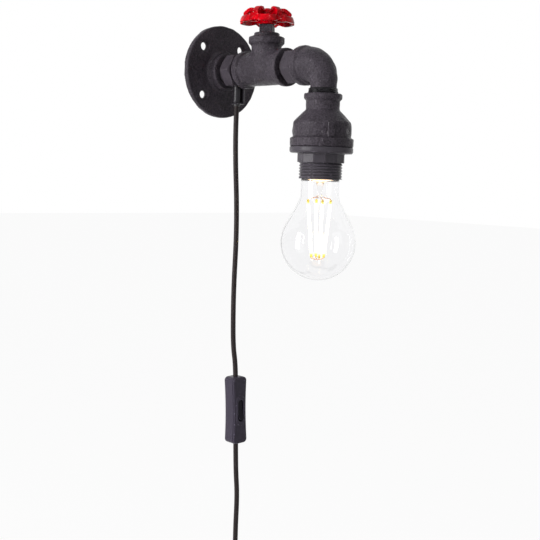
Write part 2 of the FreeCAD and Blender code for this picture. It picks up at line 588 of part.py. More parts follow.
screws = turned("terminal_screw", [
    ("0", "-(%s - core_high) - 4" % SHELL_TOP), ("1.5", "-(%s - core_high) - 4" % SHELL_TOP),
    ("1.5", "-(%s - core_high) + seat_gap" % SHELL_TOP),
    ("2.7", "-(%s - core_high) + seat_gap" % SHELL_TOP),
    ("2.7", "-(%s - core_high) + 1.7" % SHELL_TOP), ("0", "-(%s - core_high) + 1.7" % SHELL_TOP)])


def group(name, things):
    """Like pieces as separate solids in one node."""
    bundle = doc.addObject("Part::Compound", name)
    bundle.Links = things
    doc.recompute()
    return bundle


def linked(source, x, y, z, angle=0):
    """A second copy of a piece, moved and turned about Z."""
    link = doc.addObject("App::Link", source.Name + "_copy")
    link.setLink(source)
    link.LinkPlacement = FreeCAD.Placement(
        FreeCAD.Vector(x, y, z), FreeCAD.Rotation(FreeCAD.Vector(0, 0, 1), angle))
    return link


reach = number("terminal_reach")
lamp_y = -number(LAMP_REACH)
keep("terminal_screws", group("terminal_screws", [
    linked(screws, reach, lamp_y, 0), linked(screws, -reach, lamp_y, 0)]))

shell_corners = [
    ("core_radius + thread_fit", "-%s - seat_gap" % CAP_END), ("cap_radius", "-%s - seat_gap" % CAP_END),
    ("cap_radius", "-bell_bottom + seat_gap"), ("skirt_radius", "-bell_bottom + seat_gap")]
for turn_number in range(int(number("skirt_turns"))):
    crest = "(skirt_bottom - 0.9 - skirt_pitch * %d)" % (number("skirt_turns") - turn_number)
    shell_corners += [
        ("skirt_radius", "-%s" % crest), ("skirt_radius - skirt_depth", "-%s - skirt_pitch * 0.36" % crest),
        ("skirt_radius - skirt_depth", "-%s - skirt_pitch * 0.5" % crest),
        ("skirt_radius", "-%s - skirt_pitch * 0.86" % crest)]
shell_corners += [
    ("skirt_radius - 0.2", "-skirt_bottom"), ("skirt_bore", "-skirt_bottom"),
    ("skirt_bore", "-%s - 1.6" % SHELL_TOP), ("ledge_bore", "-%s - 1.6" % SHELL_TOP),
    ("ledge_bore", "-%s - seat_gap" % SHELL_TOP),
    ("core_radius + thread_fit", "-%s - seat_gap" % SHELL_TOP)]
on_lamp_axis("holder_shell", turned("holder_shell", shell_corners))

shade_ring = turned("shade_ring", [
    ("skirt_radius + slip_fit", "-" + RING_TOP), ("ring_radius - 0.5", "-" + RING_TOP),
    ("ring_radius", "-%s - 0.6" % RING_TOP), ("ring_radius", "-%s - ring_thick + 1.2" % RING_TOP),
    ("ring_radius - 1.0", "-%s - ring_thick" % RING_TOP), ("collar_radius", "-%s - ring_thick" % RING_TOP),
    ("collar_radius", "-collar_bottom"), ("skirt_radius + slip_fit", "-collar_bottom")])
facet = cut_box(shade_ring, "collar_flat", ("4", "collar_radius", "collar_bottom"),
                ("collar_radius * cos(180deg / collar_flats)", "-collar_radius / 2",
                 "-%s - ring_thick - 0.7 - collar_bottom" % RING_TOP))
round_about(shade_ring, "collar_facets", [facet], "collar_flats")
on_lamp_axis("shade_ring", shade_ring)

SHELL_FACE = "(%s + seat_gap)" % SHELL_TOP
on_lamp_axis("screw_shell", turned("screw_shell", [
    ("6.6", "-" + SHELL_FACE), ("shell_bore + shell_wall", "-" + SHELL_FACE),
    ("shell_bore + shell_wall", "-%s - shell_long" % SHELL_FACE),
    ("shell_bore", "-%s - shell_long" % SHELL_FACE), ("shell_bore", "-%s - shell_wall" % SHELL_FACE),
    ("6.6", "-%s - shell_wall" % SHELL_FACE)]))

contact = new_body("centre_contact")
contact_sketch = new_sketch(contact, "leaf_outline", "YZ_Plane")
draw(contact_sketch, [
    ("-5", "-" + SHELL_FACE), ("5", "-" + SHELL_FACE), ("5", "-%s - 0.5" % SHELL_FACE),
    ("-3.6", "-%s - 0.5" % SHELL_FACE), ("2.2", "-contact_top + 0.7"), ("2.2", "-contact_top + 0.2"),
    ("-5", "-%s - 0.7" % SHELL_FACE)])
leaf = contact.newObject("PartDesign::Pad", "leaf")
leaf.Profile = contact_sketch
leaf.Midplane = True
leaf.Length = 4
doc.recompute()
on_lamp_axis("centre_contact", contact)


# ---------------------------------------------------------------------------
# Bulb: glass blown as a sphere, a sloping shoulder and a neck
# ---------------------------------------------------------------------------
def glass_outline(wall):
    """Corners from the pole up to the neck, on the skin that lies wall inside."""
    radius = "(bulb_radius - %s)" % wall
    curve = "(neck_round + %s)" % wall
    neck = "(neck_radius - %s)" % wall
    swing = ("(bulb_radius + neck_round - (neck_radius + neck_round) * cos(1deg * shoulder_angle))"
             " / sin(1deg * shoulder_angle)")
    height = "(-bulb_middle + %s)" % swing
    return [
        ("0", "-bulb_middle - " + radius, radius, 1),
        (radius + " * cos(1deg * shoulder_angle)",
         "-bulb_middle + %s * sin(1deg * shoulder_angle)" % radius),
        ("neck_radius + neck_round - %s * cos(1deg * shoulder_angle)" % curve,
         "%s - %s * sin(1deg * shoulder_angle)" % (height, curve), curve, -1),
        (neck, height), (neck, "-neck_top - %s" % wall)]


outer = glass_outline("0")
inner = glass_outline("glass_wall")
back = [(p[0], p[1]) for p in inner]
FOOT = "(cap_outer - cap_sheet - slip_fit)"
glass_corners = outer + [
    (FOOT, "-cap_rim - 0.3"), (FOOT, "-cap_rim + 4"),
    (FOOT + " - glass_wall", "-cap_rim + 4"), (FOOT + " - glass_wall", "-cap_rim - 0.9"),
    back[4], (inner[3][0], inner[3][1], inner[2][2], 1), back[2],
    (inner[1][0], inner[1][1], inner[0][2], -1), back[0]]
on_lamp_axis("bulb_glass", turned("bulb_glass", glass_corners))
on_lamp_axis("bulb_cap", turned("bulb_cap", [
    ("cap_outer - cap_sheet", "-cap_rim"), ("cap_outer", "-cap_rim"), ("cap_outer", "-cap_top - 3.2"),
    ("cap_outer - 2", "-cap_top - 1.4"), ("cap_outer - 2.4", "-cap_top - 1.8"),
    ("cap_outer - cap_sheet", "-cap_top - 3.4")]))
on_lamp_axis("bulb_insulator", turned("bulb_insulator", [
    ("0", "-cap_top - 1.75"), ("cap_outer - 2.6", "-cap_top - 1.75"), ("cap_outer - 2.9", "-cap_top - 0.4"),
    ("contact_radius + 0.4", "-contact_top - 1.1"), ("0", "-contact_top - 1.1")]))
on_lamp_axis("bulb_contact", turned("bulb_contact", [
    ("0", "-contact_top - 1.05"), ("contact_radius", "-contact_top - 1.05"),
    ("contact_radius - 0.8", "-contact_top - 0.15"), ("1.5", "-contact_top"), ("0", "-contact_top")]))
on_lamp_axis("bulb_stem", turned("bulb_stem", [
    ("0", "-cap_rim - 1.2"), ("1.6", "-cap_rim - 1.2"), (FOOT + " - glass_wall - 0.3", "-cap_rim + 3"),
    (FOOT + " - glass_wall - 0.3", "-cap_rim + 1.8"), ("3.4", "-cap_rim - 3.6"),
    ("2.4", "-cap_rim - 7"), ("2.0", "-filament_top + 4"), ("3.0", "-filament_top + 2.4"),
    ("2.6", "-filament_top + 0.6"), ("0", "-filament_top + 0.4")]))


def rod(name, radius, start, end):
    """Round rod between two points given by radius, angle and height on the lamp axis."""
    ends = []
    for reach_out, angle, height in (start, end):
        swing = math.radians(angle)
        ends.append(FreeCAD.Vector(
            reach_out * math.cos(swing), lamp_y + reach_out * math.sin(swing), height))
    line = ends[1] - ends[0]
    piece = doc.addObject("Part::Cylinder", name)
    tie(piece, Radius=radius)
    piece.Height = line.Length
    piece.Placement = FreeCAD.Placement(
        ends[0], FreeCAD.Rotation(FreeCAD.Vector(0, 0, 1), line))
    return piece


filaments, leads = [], []
for i in range(int(number("filament_count"))):
    angle = number("cage_spin") + 360 / number("filament_count") * i
    top_z, end_z = -number("filament_top"), -number("filament_end")
    top_r, end_r = number("cage_top"), number("cage_end")
    filaments.append(rod("filament", "filament_radius", (top_r, angle, top_z), (end_r, angle, end_z)))
    leads.append(rod("top_lead", "lead_radius", (3.1, angle, top_z + 2.0), (top_r, angle, top_z + 0.6)))
    leads.append(rod("end_lead", "lead_radius", (0.9, angle, end_z - 1.6), (end_r, angle, end_z - 0.6)))
keep("bulb_filaments", group("bulb_filaments", filaments))
keep("bulb_leads", group("bulb_leads", leads))


# ---------------------------------------------------------------------------
# Strain relief under the wall nipple: tube, folded bracket, bush
# ---------------------------------------------------------------------------
HEX_UNDER = "(hex_flats / 2)"
grip_tube = turned("grip_tube", [
    ("grip_bore", "-grip_bottom"), ("grip_radius", "-grip_bottom"), ("grip_radius", "-%s + 3" % HEX_UNDER),
    ("grip_bore", "-%s + 3" % HEX_UNDER)])
put(keep("grip_tube", grip_tube), y="-grip_reach")
bracket = new_body("cord_bracket")
for label, size, corner in (
        ("back_leaf", ("bracket_thick", "bracket_wide", "grip_bottom - %s + bracket_thick" % HEX_UNDER),
         ("grip_radius + seat_gap", "-bracket_wide / 2", "-grip_bottom - bracket_thick - seat_gap")),
        ("foot_leaf",
         ("grip_radius + seat_gap + bracket_thick + bracket_front", "bracket_wide", "bracket_thick"),
         ("-bracket_front", "-bracket_wide / 2", "-grip_bottom - bracket_thick - seat_gap"))):
    leaf_box = bracket.newObject("PartDesign::AdditiveBox", label)
    leaf_box.AttachmentSupport = (plane(bracket, "XY_Plane"), [""])
    leaf_box.MapMode = "FlatFace"
    tie(leaf_box, Length=size[0], Width=size[1], Height=size[2],
        AttachmentOffset__Base__x=corner[0], AttachmentOffset__Base__y=corner[1],
        AttachmentOffset__Base__z=corner[2])
    doc.recompute()
cut_cylinder(bracket, "foot_hole", "grip_bore", "4", y="bracket_offset", z="-grip_bottom - 3")
put(keep("cord_bracket", bracket), y="-grip_reach - bracket_offset")
grip_bush = turned("grip_bush", [
    ("grip_bore", "-bush_bottom"), ("bush_radius - 0.3", "-bush_bottom"),
    ("bush_radius", "-bush_bottom + 0.4"),
    ("bush_radius", "-grip_bottom - bracket_thick - seat_gap * 2"),
    ("grip_bore", "-grip_bottom - bracket_thick - seat_gap * 2")])
put(keep("grip_bush", grip_bush), y="-grip_reach")


# ---------------------------------------------------------------------------
# Cords and cores: straight runs joined by arcs that are as large as they can be
# ---------------------------------------------------------------------------
SHARE = 0.45


def tube(name, route, radius, bends=None):
    """Round tube along a route; bends gives an arc radius for a corner by its index."""
    spots = [FreeCAD.Vector(*p) for p in route]
    edges, radii = [], []
    here = spots[0]
    for i in range(1, len(spots) - 1):
        before, after = spots[i - 1] - spots[i], spots[i + 1] - spots[i]
        half = (math.pi - before.getAngle(after)) / 2
        shorter = min(before.Length, after.Length)
        size = (bends or {}).get(i, SHARE * shorter / math.tan(half))
        reach_back = size * math.tan(half)
        before.normalize()
        after.normalize()
        middle = before + after
        middle.normalize()
        start, end = spots[i] + before * reach_back, spots[i] + after * reach_back
        crown = spots[i] + middle * (size / math.cos(half) - size)
        if (start - here).Length > 1e-6:
            edges.append(Part.LineSegment(here, start).toShape())
        edges.append(Part.Arc(start, crown, end).toShape())
        radii.append(round(size, 1))
        here = end
    edges.append(Part.LineSegment(here, spots[-1]).toShape())
    return sweep(name, edges, radius, radii)


def sweep(name, edges, radius, radii=None):
    """Round pipe along edges, with its volume compared to section times length."""
    path = Part.Wire(edges)
    first = path.OrderedEdges[0]
    start = first.valueAt(first.FirstParameter)
    axis = first.tangentAt(first.FirstParameter)
    ring = Part.Wire([Part.Circle(start, axis, radius).toShape()])
    piece = doc.addObject("Part::Feature", name)
    piece.Shape = path.makePipeShell([ring], True, False)
    ratio = piece.Shape.Volume / (math.pi * radius ** 2 * path.Length)
    print("%s: length %.1f, volume ratio %.4f, radii %s" % (name, path.Length, ratio, radii or ""))
    return keep(name, piece)


cord_r, wire_r = number("cord_radius"), number("wire_radius")
grip_y = -number("grip_reach")
lay = wire_r + 0.1
bend_r = number("bend_radius")
terminal_z = -(number(SHELL_TOP) - number("core_high")) + 1.2 + wire_r
for name, side in (("wire_live", 1), ("wire_neutral", -1)):
    x = side * lay
    tube(name, [
        (x, grip_y, -number("bush_bottom") + 0.1), (x, grip_y, 0), (x, lamp_y, 0),
        (x, lamp_y, terminal_z), (side * (reach - 2.85), lamp_y, terminal_z)],
        wire_r, {1: number("entry_bend"), 2: bend_r, 3: number("terminal_bend")})


def switch_end(way, beyond):
    """Point on the switch's long axis, beyond its top (way 1) or its bottom (way -1)."""
    lean = math.radians(number("switch_lean"))
    along = way * (number("switch_long") / 2 + beyond)
    return (number("switch_x") - along * math.sin(lean), grip_y,
            -number("switch_z") + along * math.cos(lean))


# The cord hangs from the bush with the photographed sway: how far down it is, as
# a share of its drop, and how far it stands to the right there.
bush_z, coil_top = -number("bush_bottom"), -number("coil_drop") + number("coil_lead")
upper_drop = switch_end(1, 0)[2] - bush_z
upper_sway = [(0.084, -0.4), (0.211, 0.7), (0.346, 3.2), (0.489, 4.0), (0.641, 2.7), (0.776, 2.9),
              (0.886, 4.0)]
tube("upper_cord", [
    (0, grip_y, bush_z - 0.05), *((x, grip_y, bush_z + share * upper_drop) for share, x in upper_sway),
    switch_end(1, number("stub_above")), switch_end(1, 0.05)], cord_r)
switch_low, coil_x = switch_end(-1, 0)[2], number("coil_x")
lower_sway = [(0.246, -1.9), (0.361, -0.4), (0.484, -0.1), (0.623, -0.6), (0.82, -0.4)]
tube("lower_cord", [
    switch_end(-1, 0.05), switch_end(-1, number("stub_below")),
    *((coil_x + x, grip_y, switch_low + share * (coil_top - switch_low)) for share, x in lower_sway),
    (coil_x, grip_y, coil_top)], cord_r)


# ---------------------------------------------------------------------------
# Coil of the spare cord: a spiral in, a climb of one layer, a spiral out
# ---------------------------------------------------------------------------
def arc_of(start, knee, end):
    """Arc from start to end, tangent at both to the lines that meet at knee."""
    chord = (start + end) * 0.5
    rise = knee - chord
    half = (end - start).Length / 2
    lift = half * math.tan(math.atan2(rise.Length, half) / 2)
    if rise.Length < 1e-7:
        return Part.LineSegment(start, end).toShape()
    return Part.Arc(start, chord + rise * (lift / rise.Length), end).toShape()


def biarc(start, start_way, end, end_way):
    """Two tangent arcs that leave start along start_way and reach end along end_way."""
    chord = end - start
    total = start_way + end_way
    spread = 2 * (1 - start_way.dot(end_way))
    along = chord.dot(total)
    size = (-along + math.sqrt(along ** 2 + spread * chord.dot(chord))) / spread
    knee_a, knee_b = start + start_way * size, end - end_way * size
    joint = (knee_a + knee_b) * 0.5
    return [arc_of(start, knee_a, joint), arc_of(joint, knee_b, end)]


pitch, inner_r = number("coil_pitch"), number("coil_inner")
quarters = int(number("coil_quarters"))
outer_r = inner_r + pitch * quarters / 4
coil_centre_x = number("coil_x") - outer_r
coil_z = -number("coil_drop")


def coil_point(quarter):
    """Place and direction on the coil after so many quarter turns."""
    last = 2 * quarters + 2
    middle = quarters + 1
    radius = inner_r + pitch * max(abs(quarter - middle) - 1, 0) / 4
    rate = 0
    if abs(quarter - middle) > 0.5:
        rate = math.copysign(pitch / 4, quarter - middle) / (math.pi / 2)
    climb = 0
    if quarter == middle:
        radius -= number("coil_dip")
        climb = 1.5 * pitch / math.pi
    layer = 0 if quarter < middle else pitch
    if quarter == middle:
        layer = pitch / 2
    swing = -math.pi / 2 * quarter
    place = FreeCAD.Vector(coil_centre_x + radius * math.cos(swing), grip_y + layer,
                           coil_z + radius * math.sin(swing))
    way = FreeCAD.Vector(rate * math.cos(swing) + radius * math.sin(swing), climb,
                         rate * math.sin(swing) - radius * math.cos(swing))
    if quarter in (0, last):
        way = FreeCAD.Vector(0, 0, -1)
    way.normalize()
    return place, way


stations = [coil_point(q) for q in range(2 * quarters + 3)]
coil_start = FreeCAD.Vector(number("coil_x"), grip_y, coil_top - 0.05)
coil_end = stations[-1][0] - FreeCAD.Vector(0, 0, number("coil_leave"))
coil_edges = [Part.LineSegment(coil_start, stations[0][0]).toShape()]
for (place, way), (next_place, next_way) in zip(stations, stations[1:]):
    coil_edges += biarc(place, way, next_place, next_way)
coil_edges.append(Part.LineSegment(stations[-1][0], coil_end).toShape())
sweep("cord_coil", coil_edges, cord_r)


def least_gap(edges, radius, step=1.5):
    """Smallest distance between turns of a tube, measured on points along its line."""
    spots, run = [], 0
    for edge in edges:
        count = max(int(edge.Length / step), 2)
        for i in range(count):
            first, last = edge.FirstParameter, edge.LastParameter
            spots.append((run + edge.Length * i / count, edge.valueAt(first + (last - first) * i / count)))
        run += edge.Length
    apart = math.pi * inner_r
    return min((a[1] - b[1]).Length for i, a in enumerate(spots) for b in spots[i + 1:]
               if b[0] - a[0] > apart) - 2 * radius


print("cord_coil: least gap to itself %.2f" % least_gap(coil_edges, cord_r))

# The tie goes round the bundle on the side away from the cord's entry.
bundle_in = inner_r - number("coil_dip") - cord_r - number("tie_gap")
bundle_out = outer_r - pitch / 2 + cord_r + number("tie_gap")
bundle_deep = pitch + 2 * (cord_r + number("tie_gap"))
band = number("tie_thick")


def block(name, size, corner):
    piece = doc.addObject("Part::Box", name)
    piece.Length, piece.Width, piece.Height = size
    piece.Placement.Base = FreeCAD.Vector(*corner)
    return piece


tie_high = number("tie_wide")
tie_outer = block("tie_outer", (bundle_out - bundle_in + 2 * band, bundle_deep + 2 * band, tie_high),
                  (coil_centre_x - bundle_out - band, grip_y + pitch / 2 - bundle_deep / 2 - band,
                   coil_z - tie_high / 2))
tie_inner = block("tie_inner", (bundle_out - bundle_in, bundle_deep, tie_high + 2),
                  (coil_centre_x - bundle_out, grip_y + pitch / 2 - bundle_deep / 2,
                   coil_z - tie_high / 2 - 1))
strap = doc.addObject("Part::Cut", "coil_tie_strap")
strap.Base, strap.Tool = tie_outer, tie_inner
doc.recompute()
strap_round = doc.addObject("Part::Fillet", "coil_tie")
strap_round.Base = strap
strap_round.Edges = [
    (i, band * 0.9, band * 0.9) for i, edge in enumerate(strap.Shape.Edges, 1)
    if abs(edge.Length - tie_high) < 1e-6 and len(edge.Vertexes) == 2
    and abs(edge.Vertexes[0].X - edge.Vertexes[1].X) < 1e-6
    and (abs(edge.Vertexes[0].X - tie_outer.Shape.BoundBox.XMin) < 1e-6
         or abs(edge.Vertexes[0].X - tie_outer.Shape.BoundBox.XMax) < 1e-6)]
doc.recompute()
keep("coil_tie", strap_round)


# ---------------------------------------------------------------------------
# In-line switch: two waisted shells, a rocker on a pin, contacts and screws
# ---------------------------------------------------------------------------
def on_switch(name, thing, depth=0, tilt=0):
    """Puts a piece in the switch's own leaning frame, depth behind its middle."""
    lean = FreeCAD.Rotation(FreeCAD.Vector(0, 1, 0), -number("switch_lean"))
    centre = FreeCAD.Vector(number("switch_x"), grip_y, -number("switch_z"))
    thing.Placement = FreeCAD.Placement(
        centre + lean.multVec(FreeCAD.Vector(0, depth, 0)),
        lean * FreeCAD.Rotation(FreeCAD.Vector(1, 0, 0), tilt))
    return keep(name, thing)


def switch_outline():
    wide, tall, corner = "switch_wide / 2", "switch_long / 2", "switch_corner"
    flank = "(switch_long / 2 - switch_corner)"
    waist = "((%s ^ 2 + switch_waist ^ 2) / (2 * switch_waist))" % flank
    inset = wide + " - switch_corner"
    return [
        (inset, "-" + tall, corner, 1), (wide, "-" + flank, waist, -1), (wide, flank, corner, 1),
        (inset, tall), ("-(%s)" % inset, tall, corner, 1), ("-" + wide, flank, waist, -1),
        ("-" + wide, "-" + flank, corner, 1), ("-(%s)" % inset, "-" + tall)]


def stadium(wide, long):
    half, flat = "(%s / 2)" % wide, "(%s / 2 - %s / 2)" % (long, wide)
    return [(half, "-" + flat), (half, flat, half, 1), ("0", "%s + %s" % (flat, half), half, 1),
            ("-" + half, flat), ("-" + half, "-" + flat, half, 1),
            ("0", "-%s - %s" % (flat, half), half, 1)]


def pad(body, name, sketch, length, kind="Pad", back=False):
    feature = body.newObject("PartDesign::" + kind, name)
    feature.Profile = sketch
    feature.Type = "Length"
    feature.Reversed = back
    tie(feature, Length=length)
    doc.recompute()
    return feature


def face_at(shape, depth):
    """Name of the flat face that lies at a depth along Y."""
    for index, face in enumerate(shape.Faces, 1):
        box = face.BoundBox
        if abs(box.YMin - depth) < 1e-4 and abs(box.YMax - depth) < 1e-4:
            return "Face%d" % index
    raise RuntimeError("no face there")


front = new_body("switch_front")
front_outline = new_sketch(front, "front_outline", "XZ_Plane", "switch_split + seat_gap")
draw(front_outline, switch_outline())
front_pad = pad(front, "front_form", front_outline, "switch_deep / 2 - switch_split - seat_gap")
edge_round = front.newObject("PartDesign::Fillet", "front_edge")
edge_round.Base = (front_pad, [face_at(front_pad.Shape, -number("switch_deep / 2"))])
tie(edge_round, Radius="switch_edge")
doc.recompute()
frame_sketch = new_sketch(front, "frame_outline", "XZ_Plane", "switch_deep / 2 - 1")
draw(frame_sketch, stadium("frame_wide", "frame_long"))
frame_pad = pad(front, "rocker_frame", frame_sketch, "frame_rise + 1")
frame_round = front.newObject("PartDesign::Fillet", "frame_edge")
frame_round.Base = (frame_pad, [face_at(frame_pad.Shape, -number("switch_deep / 2 + frame_rise"))])
tie(frame_round, Radius="frame_rise * 0.9")
doc.recompute()
opening_sketch = new_sketch(front, "opening_outline", "XZ_Plane", "switch_deep")
draw(opening_sketch, stadium("opening_wide", "opening_long"))
pad(front, "rocker_opening", opening_sketch, "switch_deep * 2", "Pocket")


def pivot_seats(body):
    """The pin's seats, half in each shell where they meet."""
    cut_cylinder(body, "pivot_seats", "pivot_radius + pivot_fit", "pivot_long + seat_gap * 2",
                 "-pivot_long / 2 - seat_gap", "-switch_deep / 2 + rocker_depth", "0", (0, 1, 0, 90))


pivot_seats(front)
on_switch("switch_front", front)

rear = new_body("switch_back")
rear_outline = new_sketch(rear, "rear_outline", "XZ_Plane", "-switch_deep / 2")
draw(rear_outline, switch_outline())
rear_pad = pad(rear, "rear_form", rear_outline, "switch_deep / 2 + switch_split")
rear_round = rear.newObject("PartDesign::Fillet", "rear_edge")
rear_round.Base = (rear_pad, [face_at(rear_pad.Shape, number("switch_deep / 2"))])
tie(rear_round, Radius="switch_edge")
doc.recompute()
cut_box(rear, "contact_cavity", ("cavity_wide", "cavity_deep", "cavity_long"),
        ("-cavity_wide / 2", "-switch_split", "-cavity_long / 2"))
pivot_seats(rear)
for side in ("-", ""):
    cut_cylinder(rear, "screw_well", "back_screw_head + slip_fit", "3", "0", "switch_deep / 2",
                 side + "back_screw_reach", (1, 0, 0, 90))
on_switch("switch_back", rear)

pivot_y = "(-switch_deep / 2 + rocker_depth)"
rocker = new_body("switch_rocker")
rocker_sketch = new_sketch(rocker, "rocker_side", "YZ_Plane")
END_Y = "(-rocker_high - rocker_long / 2 * tan(1deg * rocker_tilt))"
draw(rocker_sketch, [
    ("-rocker_high", "0"), (END_Y, "-rocker_long / 2"), ("-0.6", "-rocker_long / 2"),
    ("rocker_under * 0.5", "-rocker_long * 0.36"), ("rocker_under", "0"),
    ("rocker_under * 0.5", "rocker_long * 0.36"), ("-0.6", "rocker_long / 2"), (END_Y, "rocker_long / 2")])
rocker_pad = rocker.newObject("PartDesign::Pad", "rocker_form")
rocker_pad.Profile = rocker_sketch
rocker_pad.Midplane = True
tie(rocker_pad, Length="rocker_wide")
doc.recompute()
ends = []
for i, edge in enumerate(rocker_pad.Shape.Edges, 1):
    box = edge.BoundBox
    upright = box.ZMax - box.ZMin < 1e-4 and abs(abs(box.ZMax) - number("rocker_long / 2")) < 1e-3
    if upright and box.XMax - box.XMin < 1e-4:
        ends.append("Edge%d" % i)
rocker_round = rocker.newObject("PartDesign::Fillet", "rocker_ends")
rocker_round.Base = (rocker_pad, ends)
tie(rocker_round, Radius="rocker_wide / 2 - 0.3")
doc.recompute()
cut_cylinder(rocker, "pivot_hole", "pivot_radius + pivot_fit", "rocker_wide * 2", "-rocker_wide",
             turn=(0, 1, 0, 90))
on_switch("switch_rocker", rocker, number(pivot_y), -number("rocker_tilt"))

pin = new_body("rocker_pin")
pin_rod = pin.newObject("PartDesign::AdditiveCylinder", "pin_rod")
pin_rod.AttachmentSupport = (plane(pin, "YZ_Plane"), [""])
pin_rod.MapMode = "FlatFace"
tie(pin_rod, Radius="pivot_radius", Height="pivot_long", AttachmentOffset__Base__z="-pivot_long / 2")
doc.recompute()
on_switch("rocker_pin", pin, number(pivot_y))

strips = []
for level in (-number("contact_apart"), 0, number("contact_apart")):
    strips.append(block("contact_strip", (4.4, 3.85, 0.6), (-2.2, -0.6, level - 0.3)))
    strips.append(block("contact_pad", (4.4, 0.6, 4.5), (-2.2, 2.65, level + 0.35)))
contacts = group("switch_contacts", strips)
on_switch("switch_contacts", contacts)

well_y = number("switch_deep") / 2
heads = []
for level in (-1, 1):
    screw = doc.addObject("Part::Cylinder", "back_screw")
    tie(screw, Radius="back_screw_head")
    screw.Height = 2.6
    screw.Placement = FreeCAD.Placement(
        FreeCAD.Vector(0, well_y - 0.3, level * number("back_screw_reach")),
        FreeCAD.Rotation(FreeCAD.Vector(1, 0, 0), 90))
    heads.append(screw)
on_switch("switch_screws", group("switch_screws", heads))


# ---------------------------------------------------------------------------
# Flat two-pin plug
# ---------------------------------------------------------------------------
plug_y = grip_y + pitch
plug_z = coil_end.z - 0.05
mains = new_body("plug_body")
mains_sketch = new_sketch(mains, "plug_outline", "XZ_Plane")
draw(mains_sketch, [
    ("-5", "-sleeve_long"), ("-plug_wide / 2 + 1.5", "-sleeve_long - plug_long * 0.34"),
    ("-plug_wide / 2", "-sleeve_long - plug_long * 0.55"), ("-plug_face / 2", "-sleeve_long - plug_long"),
    ("plug_face / 2", "-sleeve_long - plug_long"), ("plug_wide / 2", "-sleeve_long - plug_long * 0.55"),
    ("plug_wide / 2 - 1.5", "-sleeve_long - plug_long * 0.34"), ("5", "-sleeve_long")])
mains_pad = mains.newObject("PartDesign::Pad", "plug_form")
mains_pad.Profile = mains_sketch
mains_pad.Midplane = True
tie(mains_pad, Length="plug_thick")
doc.recompute()
mains_round = mains.newObject("PartDesign::Fillet", "plug_edges")
mains_round.Base = (mains_pad, [face_at(mains_pad.Shape, number("plug_thick / 2")),
                                face_at(mains_pad.Shape, -number("plug_thick / 2"))])
tie(mains_round, Radius="plug_round")
doc.recompute()
sleeve_sketch = new_sketch(mains, "sleeve_profile", "XZ_Plane")
draw(sleeve_sketch, [("0", "0"), ("cord_radius + 0.6", "0"), ("sleeve_radius", "-sleeve_long + 1"),
                     ("sleeve_radius", "-sleeve_long - 2"), ("0", "-sleeve_long - 2")])
sleeve = mains.newObject("PartDesign::Revolution", "plug_sleeve")
sleeve.Profile = sleeve_sketch
sleeve.ReferenceAxis = (sleeve_sketch, ["V_Axis"])
sleeve.Angle = 360
doc.recompute()
pin_hole = cut_cylinder(mains, "pin_hole", "pin_radius + seat_gap", "pin_seat + 1", "pin_apart / 2",
                        "0", "-sleeve_long - plug_long - 1")
round_about(mains, "pin_holes", [pin_hole], "2")
mains.Placement.Base = FreeCAD.Vector(number("coil_x"), plug_y, plug_z)
keep("plug_body", mains)

prong = turned("plug_prong", [
    ("0", "-sleeve_long - plug_long + pin_seat - seat_gap"),
    ("pin_radius", "-sleeve_long - plug_long + pin_seat - seat_gap"),
    ("pin_radius", "-sleeve_long - plug_long - pin_long + 1"),
    ("pin_radius - 1", "-sleeve_long - plug_long - pin_long"),
    ("0", "-sleeve_long - plug_long - pin_long")])
spread = number("pin_apart") / 2
keep("plug_pins", group("plug_pins", [
    linked(prong, number("coil_x") + spread, plug_y, plug_z),
    linked(prong, number("coil_x") - spread, plug_y, plug_z)]))


# ---------------------------------------------------------------------------
# Every feature made and every piece sound, then one STEP file per piece
# ---------------------------------------------------------------------------
doc.recompute()
for thing in doc.Objects:
    if "Invalid" in thing.State or "Error" in thing.State:
        raise RuntimeError("%s could not be made: %s" % (thing.Name, thing.State))
for name, thing in parts.items():
    if thing.Shape.isNull() or not thing.Shape.isValid() or not thing.Shape.Solids:
        raise RuntimeError("%s is not a sound solid" % name)
for name, thing in parts.items():
    thing.Shape.exportStep(os.path.join("parts", name + ".step"))
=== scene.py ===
import math

import bmesh
import bpy
import numpy as np
from mathutils import Matrix, Vector


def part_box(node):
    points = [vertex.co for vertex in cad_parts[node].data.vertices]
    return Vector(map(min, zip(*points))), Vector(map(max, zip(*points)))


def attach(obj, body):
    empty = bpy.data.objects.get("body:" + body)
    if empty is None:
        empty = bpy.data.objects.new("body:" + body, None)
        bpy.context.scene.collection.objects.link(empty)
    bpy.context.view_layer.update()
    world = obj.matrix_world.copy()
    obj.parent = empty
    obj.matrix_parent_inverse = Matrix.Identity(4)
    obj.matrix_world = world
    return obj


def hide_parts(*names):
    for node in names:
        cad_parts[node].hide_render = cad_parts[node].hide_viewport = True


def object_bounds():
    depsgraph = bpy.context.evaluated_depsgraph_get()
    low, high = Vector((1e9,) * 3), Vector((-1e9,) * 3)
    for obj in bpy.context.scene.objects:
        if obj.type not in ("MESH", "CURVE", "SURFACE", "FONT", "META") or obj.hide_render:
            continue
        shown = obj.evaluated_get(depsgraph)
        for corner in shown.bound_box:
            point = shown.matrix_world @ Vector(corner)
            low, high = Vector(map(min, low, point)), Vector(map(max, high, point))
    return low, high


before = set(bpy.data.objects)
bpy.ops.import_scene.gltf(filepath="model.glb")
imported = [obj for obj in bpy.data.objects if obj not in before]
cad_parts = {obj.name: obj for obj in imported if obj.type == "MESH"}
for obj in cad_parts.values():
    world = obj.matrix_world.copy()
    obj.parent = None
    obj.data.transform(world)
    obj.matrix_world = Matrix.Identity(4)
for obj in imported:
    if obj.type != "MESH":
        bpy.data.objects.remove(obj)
cad_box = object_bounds()
MM = 0.001


